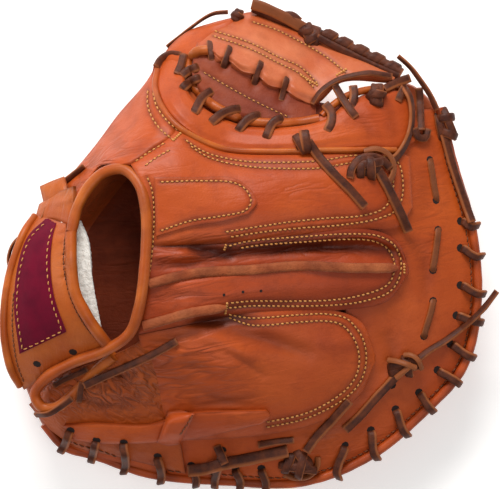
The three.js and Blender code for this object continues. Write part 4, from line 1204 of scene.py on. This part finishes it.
for i, (name, row) in enumerate(tailRows.items()):
    if "tip" in row:
        lace = pastRim(name, row["line"], row["tip"], row["rimAt"], row["wide"])
    else:
        lace = laidLace(name, wrapTree, row["line"], row["wide"], 2.0, row["turns"], seed=i * 5.0)
    freeEnd(lace, row["wide"], row["node"])
freeEnd(airLace("tailWeb", [(437, 110, 46), (430, 95, 47), (420, 80, 48), (410, 67, 48.5), (398, 56, 48.5)],
                3.6, 1.8, (30, 40, 55), seed=2.0), 3.6)
freeEnd(laidLace("tailEdge", wrapTree, [(444, 134, 0.4), (452, 164), (463, 197), (472, 222)], 5.2, 2.0,
                 (12, 20, 20), seed=3.0), 5.2)
freeEnd(airLace("tailFar", [(228, 12, 39), (214, 13.5, 39.5), (203, 19, 39), (190, 28.5, 38), (178, 38, 37),
                            (167, 47, 36)], 2.6, 1.4, (20, 60, 30), seed=8.0), 2.6)
print("tails made")

# Laces along the edges and through the web
laceRuns = []


def run(rows, wide=4.8, thick=1.9, turns=(0, 0), tree=None):
    laceRuns.append(laidLace("run", tree or wrapTree, rows, wide, thick, turns, seed=len(laceRuns) * 1.7)[0])
    return laceRuns[-1]


def air(rows, wide=4.8, thick=1.9, turns=(0, 0)):
    laceRuns.append(airLace("air", rows, wide, thick, turns, seed=len(laceRuns) * 1.9)[0])
    return laceRuns[-1]


def pale(obj, much):   # a lace whose face shows the lighter hide
    cut = np.zeros(len(obj.data.vertices), np.float32)
    obj.data.attributes["cut"].data.foreach_get("value", cut)
    setAttribute(obj, "cut", np.maximum(cut, much))


def collect(name, *nodes):   # all laces made since the last call become one piece
    finish(joinAs(name, laceRuns), rawhide, "lace", *nodes)
    laceRuns.clear()


pale(air([(252, 4, 39), (262, 7, 40), (284, 17, 41), (304, 28, 41)], wide=6.6, turns=(-12, -18, -12)), 0.5)
air([(252, 9, 36), (268, 17, 36.5), (290, 26, 37.5), (306, 33, 38)], wide=4.6, turns=(-50, -50))
air([(284, 15, 40), (292, 15, 41.5), (300, 21, 41)], wide=4.2, turns=(-10, 20))
air([(317, 37, 45), (330, 44, 45.5), (348, 53, 46), (366, 62, 46.5), (384, 70.5, 47), (400, 77, 47)], wide=4.4,
    turns=(-18, -26, -20))
air([(318, 33, 40), (336, 41, 41), (352, 48, 42), (369, 56, 43), (386, 64, 44), (402, 73, 45)], wide=5.4, thick=4.2)
for px, py, z in ((328, 36, 40), (343, 43.5, 40.5), (359, 51, 41), (375, 59, 42), (391, 67.5, 42.5)):
    laceRuns.append(archBand(place(px, py, z), 62, 3.1, 3.0, 8.0, skew=-1.8, spread=112, seed=px, thick=2.4,
                             corner=0.48))
collect("topLace", "top_lace")
for px, py, turn, reach, rise, wide, aside in (
        (446, 124, -68, 9.0, 4.4, 4.8, 1.6), (445, 118, 8, 5.0, 5.0, 5.0, 0.0),
        (448, 134, -20, 5.0, 4.6, 5.0, 0.0), (444, 126, -80, 7.5, 3.6, 4.6, -2.6)):
    laceRuns.append(archBand(place(px, py, 42.0), turn, reach, rise, wide, aside=aside, seed=py))
collect("edgeLace", "edge_lace")
run([(188, 471), (205, 469), (224, 464), (250, 459), (288, 451)], wide=7.2, turns=(0, 6, 0), tree=knotTree)
pale(run([(284, 474, 0.2), (296, 478, 1.0), (309, 476, 1.2), (317, 467, 0.8), (318, 457, 0.2)], wide=3.8,
         turns=(30, 40, 30)), 0.6)
for rows, wide in (([(404, 355, 0.4), (411, 355, 2.2), (418, 360, 2.4), (422, 369, 0.2)], 3.2),
                   ([(388, 360, 0.4), (396, 361, 2.0), (406, 364, 2.6), (416, 368, 0.6)], 3.4),
                   ([(396, 378, -0.2), (402, 373, 1.0), (409, 367, 1.8)], 3.4)):
    pale(run(rows, wide=wide, turns=(25, 30, 25), tree=knotTree), 0.75)
run([(225, 464, 1.5), (221, 455, 1.2), (217, 446, -1)])
run([(258, 445), (275, 442), (294, 440)], wide=4.0, turns=(20, 20))
collect("bottomLace", "bottom_lace")

run([(402, 84, 0.5), (410, 98, 0.5), (412, 118), (408, 138), (399, 154), (388, 164)], wide=5.0, turns=(40, 55, 20))
run([(419, 88, 0.6), (420, 108), (421, 130)], wide=4.6)
pale(run([(364, 151, 0.6), (376, 148.5, 1.8), (387, 153, 2.2), (393.5, 163, 1.6), (393, 174, 0.8), (388, 183, -0.4)],
         wide=3.8, turns=(30, 40, 30)), 0.6)
run([(350, 178, -0.4), (352, 168, 1.4), (360, 159, 3.0), (372, 157, 3.4), (383, 161, 2.6), (390, 168, 0.6)],
    turns=(14, 10, -10))
run([(414, 128), (418, 137, 0.6), (425, 138, 0.6), (428, 129)], wide=4.4)
run([(334, 84, 0.5), (341, 96, 0.5), (349, 108, 0.3), (356, 117, -1)], turns=(30, 10))
run([(353, 86, 0.5), (354, 96, 0.8), (351, 107, -1)], wide=5.0)
run([(325, 104, 0.5), (331, 112, 0.6), (331, 122), (327, 131, -1)], wide=5.2)
run([(384, 89, 1.5), (396, 83, 1.5), (410, 78, 0.6)], wide=5.0, turns=(20, 0))
run([(404, 88, 0.6), (401, 94, 0.6), (398, 101, -0.5)], wide=4.6)
run([(312, 104, 0.3), (320, 92, 0.3), (335, 81, 0.3), (350, 76, 0.3), (370, 73, 0.3), (392, 76, 0.3)], wide=3.4,
    thick=1.6, turns=(40, 30, 20))
collect("webLaces")

for i, rows in enumerate((   # the wraps of the light cord in the crotch
        [(182, 76, -1.6), (184, 74, 0.2), (190, 70, 0.4), (195, 68, 0.4), (198, 67, -1.6)],
        [(182, 89, -1.8), (184, 87, 0.2), (190, 82, 0.4), (196, 79, 0.4), (200, 78, -1.6)],
        [(194, 113, -1.8), (196, 109, 0.2), (202, 98, 0.4), (208, 93, 0.4), (212, 91, -1.6)],
        [(211, 123, -1.8), (214, 120, 0.2), (224, 112.5, 0.4), (234, 109.5, 0.4), (240, 109, -1.6)],
        [(238, 131, -1.8), (240, 128, 0.2), (247, 120, 0.4), (255, 116, 0.4), (260, 116, -1.6)],
        [(266, 138, -1.8), (267, 135, 0.2), (272, 124, 0.4), (278, 119.5, 0.4), (283, 119, -1.6)])):
    laceRuns.append(hugging(rows, wide=5.2, turns=(6, -4, 6), seed=i * 1.3))
bulb = place(304, 142, float(heightOn(leatherTree, np.array([304.0]), np.array([142.0]))[0]) + 0.6)
for turn, reach, rise, wide, aside in (
        (-82, 6.0, 3.4, 6.0, 0.8), (-60, 5.6, 2.8, 5.0, -2.4), (10, 4.2, 2.4, 5.0, -2.0)):
    laceRuns.append(archBand(bulb, turn, reach, rise, wide, aside=aside, seed=wide))
run([(156, 67), (161, 59, 0.4), (170, 54, 0.4), (181, 55)], wide=4.2, turns=(-20, -20))
run([(177, 74, -0.5), (181, 65, 0.3), (184, 54)], wide=4.6)
collect("crotchLace")
for rows in ([(210, 42, -1.6), (210, 46, 0.2), (211, 54, 0.5), (212, 60, -1.6)],
             [(230, 47, -1.8), (229, 50, 0.3), (225, 61, 0.5), (223, 68, -1.6)],
             [(261, 62, -1.8), (260, 65, 0.3), (256, 77, 0.5), (254, 85, -1.6)],
             [(287, 78, -1.8), (286, 81, 0.3), (283, 93, 0.5), (281, 101, -1.6)]):
    laceRuns.append(hugging(rows, wide=4.0, thick=1.8, turns=(18, 4), seed=rows[0][0]))
collect("webStitchLace")
inHole, atHole, over = -2.2, -0.2, 0.2   # how far over the leather a lace is along one long stitch
for places in ([(430, 159), (430.5, 163), (432, 172), (434.5, 189), (436, 197), (436, 201)],
               [(438, 228), (438, 232), (437, 242), (434.5, 260), (433, 268), (433, 272)],
               [(433.5, 299), (433, 303), (431, 312), (426.5, 327), (424.5, 334), (423, 338)]):
    rows = [(*p, z) for p, z in zip(places, (inHole, atHole, over, over, atHole, inHole))]
    laceRuns.append(hugging(rows, wide=3.8, thick=1.9, turns=(20, 10), seed=places[0][1]))
    pale(laceRuns[-1], 0.4)
collect("paddingLaces")
run([(54, 386, -0.8), (62, 381, 0.1), (78, 374, 0.1), (88, 369, -0.8)], wide=3.4)
run([(82, 382, 0.2), (80, 392, 0.6), (79, 402, -0.8)], wide=3.6)
run([(72, 398, 0.2), (60, 407, 0.2), (48, 414, 0.2), (36, 415, 0.4)], wide=4.0, turns=(20, 40))
run([(84, 166, 0.4), (74, 174, 0.4), (62, 184, 0.3), (50, 197, 0.2)], wide=3.6, turns=(30, 10))
air([(48, 205, 62), (40, 222, 64), (26, 232, 66), (14, 243, 66), (9, 255, 65), (9, 264, 65), (13, 270, 66)],
    wide=3.0, thick=1.6, turns=(40, 80, 60))
collect("wristLace")
beside = [2 * (np.array(w["hole"], float) - w["edge"]) / math.dist(w["hole"], w["edge"]) for w in rimWraps]
eyelets = [tuple(w["hole"] + aside) for w, aside in zip(rimWraps, beside)] + [
    (430, 160), (436, 200), (438, 230), (433, 270), (433, 301), (424, 336), (392, 385), (262, 444), (37, 364),
    (73, 352)]
vents = [(224, 295), (243, 292), (261, 291)]
holeTree = treeOf(made)
holes = []
for spots, radius in ((eyelets, 2.5), (vents, 0.9)):
    for px, py in spots:
        spot, normal = seen(holeTree, px, py)
        holes.append(holeMesh(np.array(spot), np.array(normal), radius * mm))
finish(meshOfParts("punchedHoles", holes), punchedHole, "leather")
print("lacing made")

# Stitches: short bars of thread, each between two needle holes

def barMesh(start, end, normal, wide, high):   # rings of one stitch, a low arch from hole to hole
    axis = end - start
    side = np.cross(axis, normal)
    side /= max(np.linalg.norm(side), 1e-9)
    up = np.cross(side, axis)
    up /= max(np.linalg.norm(up), 1e-9)
    points = [start - up * high * 0.5]
    for share, size in ((0.1, 0.62), (0.3, 0.95), (0.5, 1.0), (0.7, 0.95), (0.9, 0.62)):
        middle = start + axis * share + up * high * (0.15 + 0.35 * math.sin(math.pi * share))
        for k in range(6):
            a = 2 * math.pi * (k + 0.5) / 6
            points.append(middle + side * math.cos(a) * wide * 0.5 * size + up * math.sin(a) * high * 0.5 * size)
    points.append(end - up * high * 0.5)
    faces = [[0, 1 + (k + 1) % 6, 1 + k] for k in range(6)]
    for r in range(4):
        for k in range(6):
            a, b = 1 + r * 6 + k, 1 + r * 6 + (k + 1) % 6
            faces.append([a, b, b + 6, a + 6])
    faces += [[31, 25 + k, 25 + (k + 1) % 6] for k in range(6)]
    return np.array(points), faces


def stitchesOn(name, tree, rows, material, slot, pitch=2.9, long=2.1, wide=1.1, high=0.8, hole=0.42):
    bars, holes = [], []
    turn = math.radians(8.0)   # how far a stitch slants from its row
    slant = np.array([[math.cos(turn), -math.sin(turn)], [math.sin(turn), math.cos(turn)]])
    for row in rows:
        length = lengthOf(smoothLine(row, 60)) * view["perPixel"]
        count = max(1, round(length / pitch))
        line = smoothLine(row, count * 8 + 1)
        half = long / pitch * 4
        for k in range(count):
            a, b = (np.array([np.interp(k * 8 + 4 + s * half, np.arange(len(line)), line[:, c]) for c in (0, 1)])
                    for s in (-1, 1))
            reach = slant @ (b - a) * 0.5
            first, n1 = seen(tree, *((a + b) / 2 - reach))
            second, n2 = seen(tree, *((a + b) / 2 + reach))
            if first is None or second is None or abs(first.z - second.z) > 2.5 * mm:
                continue
            normal = np.array((n1 + n2).normalized())
            bars.append(barMesh(np.array(first), np.array(second), normal, wide * mm, high * mm))
            holes += [holeMesh(np.array(spot), np.array(n), hole * mm) for spot, n in ((first, n1), (second, n2))]
    obj = meshOfParts(name, bars)
    smoothShade(obj, 70)
    finish(obj, material, slot)
    if hole:
        finish(meshOfParts(name + "Holes", holes), needleHole, "leather")


sewnTree = treeOf(backPieces + [fingerTab])
backRows = [row for group in ("thumb", "index", "middle", "little", "fingerTab") for row in stitchRows[group]]
stitchesOn("backStitches", sewnTree, backRows, thread, "leather")
stitchesOn("webStitches", treeOf([webPanel]), stitchRows["webPanel"], thread, "leather", pitch=2.6, long=1.75,
           wide=1.05)
stitchesOn("webBaseStitches", treeOf([webBase]), stitchRows["webBase"], thread, "dark_leather", pitch=3.0, long=2.1,
           wide=0.7)
stitchesOn("barTacks", treeOf(backPieces + [webPanel]), barTacks, thread, "leather",
           pitch=1.5, long=1.5, wide=1.6, high=1.1, hole=0)
inward = np.stack([-weltTangent[:, 1], weltTangent[:, 0]], axis=1)
inward /= np.linalg.norm(inward, axis=1)[:, None]
rimRow = (weltLine[:, :2] - inward * 6.5)[12:-14:8]
stitchesOn("rimStitches", treeOf([back["rimBack"], rimWelt, back["heelSide"]]), [rimRow], darkThread, "leather",
           pitch=4.0, long=2.8, wide=0.9)
stitchesOn("strapStitches", treeOf([wristStrap, strapLabel]), [
    [(65, 236), (63.5, 262), (67, 285), (74, 306), (86, 327), (98, 341)],
    [(14, 292), (12.5, 320), (14, 345), (18, 366), (24, 382)],
], darkThread, "leather", pitch=3.0, long=2.0, wide=0.8)
stitchesOn("labelStitches", treeOf([strapLabel]), [
    [(45, 223), (30, 239), (21, 266), (17, 306), (22.5, 350)], [(22.5, 350), (42, 341), (62, 331)],
    [(62, 331), (51, 298), (47, 264), (49, 240), (55, 221)],
], thread, "label", pitch=4.0, long=2.6, wide=0.8, high=0.6, hole=0)
stitchesOn("fingerStrapStitches", treeOf([littleFingerStrap, strapKeeper, back["littleStall"]]), [
    [(192, 415), (187, 424), (181, 433), (176, 443)],
], darkThread, "leather", pitch=2.6, long=2.2, wide=1.1)
print("stitches made")

# Camera, light and floor: the long lens straight over the mitt, a big soft light from the thumb's side

camera = bpy.data.objects.new("camera", bpy.data.cameras.new("camera"))
camera.location = eye
camera.data.sensor_width = 36
camera.data.lens = 36 * view["distance"] / (500 * view["perPixel"])
camera.data.clip_start, camera.data.clip_end = 0.1, 10
scene = bpy.context.scene
scene.collection.objects.link(camera)
scene.camera = camera
scene.view_settings.view_transform = "Standard"
scene.view_settings.look = "None"

bpy.ops.mesh.primitive_plane_add(size=6, location=(0, 0, -0.0002))
floor = bpy.context.object
floor.name = "floor"
floor.data.materials.append(newMaterial("paperSweep", {   # a lit paper sweep
    "Base Color": linear("#F4F3F1"), "Roughness": 0.9, "Emission Color": (1, 1, 1, 1), "Emission Strength": 0.34})[0])


def areaLight(name, location, target, size, power, colour):
    light = bpy.data.lights.new(name, "AREA")
    light.shape = "RECTANGLE"
    light.size, light.size_y = size
    light.energy = power
    light.color = colour
    obj = bpy.data.objects.new(name, light)
    obj.location = location
    obj.rotation_euler = (Vector(target) - Vector(location)).to_track_quat("-Z", "Y").to_euler()
    scene.collection.objects.link(obj)


areaLight("keyLight", (-0.15, 1.25, 1.0), (0, 0, 0.05), (0.9, 0.5), 25, (1.0, 0.985, 0.965))
areaLight("fillLight", (0.5, -0.5, 1.6), (0, 0, 0.05), (1.0, 1.0), 6, (1.0, 0.99, 0.98))
areaLight("rimLight", (-1.1, 0.2, 0.7), (0, 0, 0.05), (0.6, 0.9), 4, (1.0, 1.0, 1.0))
world = bpy.data.worlds.new("studio")
world.use_nodes = True
world.node_tree.nodes["Background"].inputs[0].default_value = (1, 1, 1, 1)
world.node_tree.nodes["Background"].inputs[1].default_value = 0.35
scene.world = world
print("camera and light made")
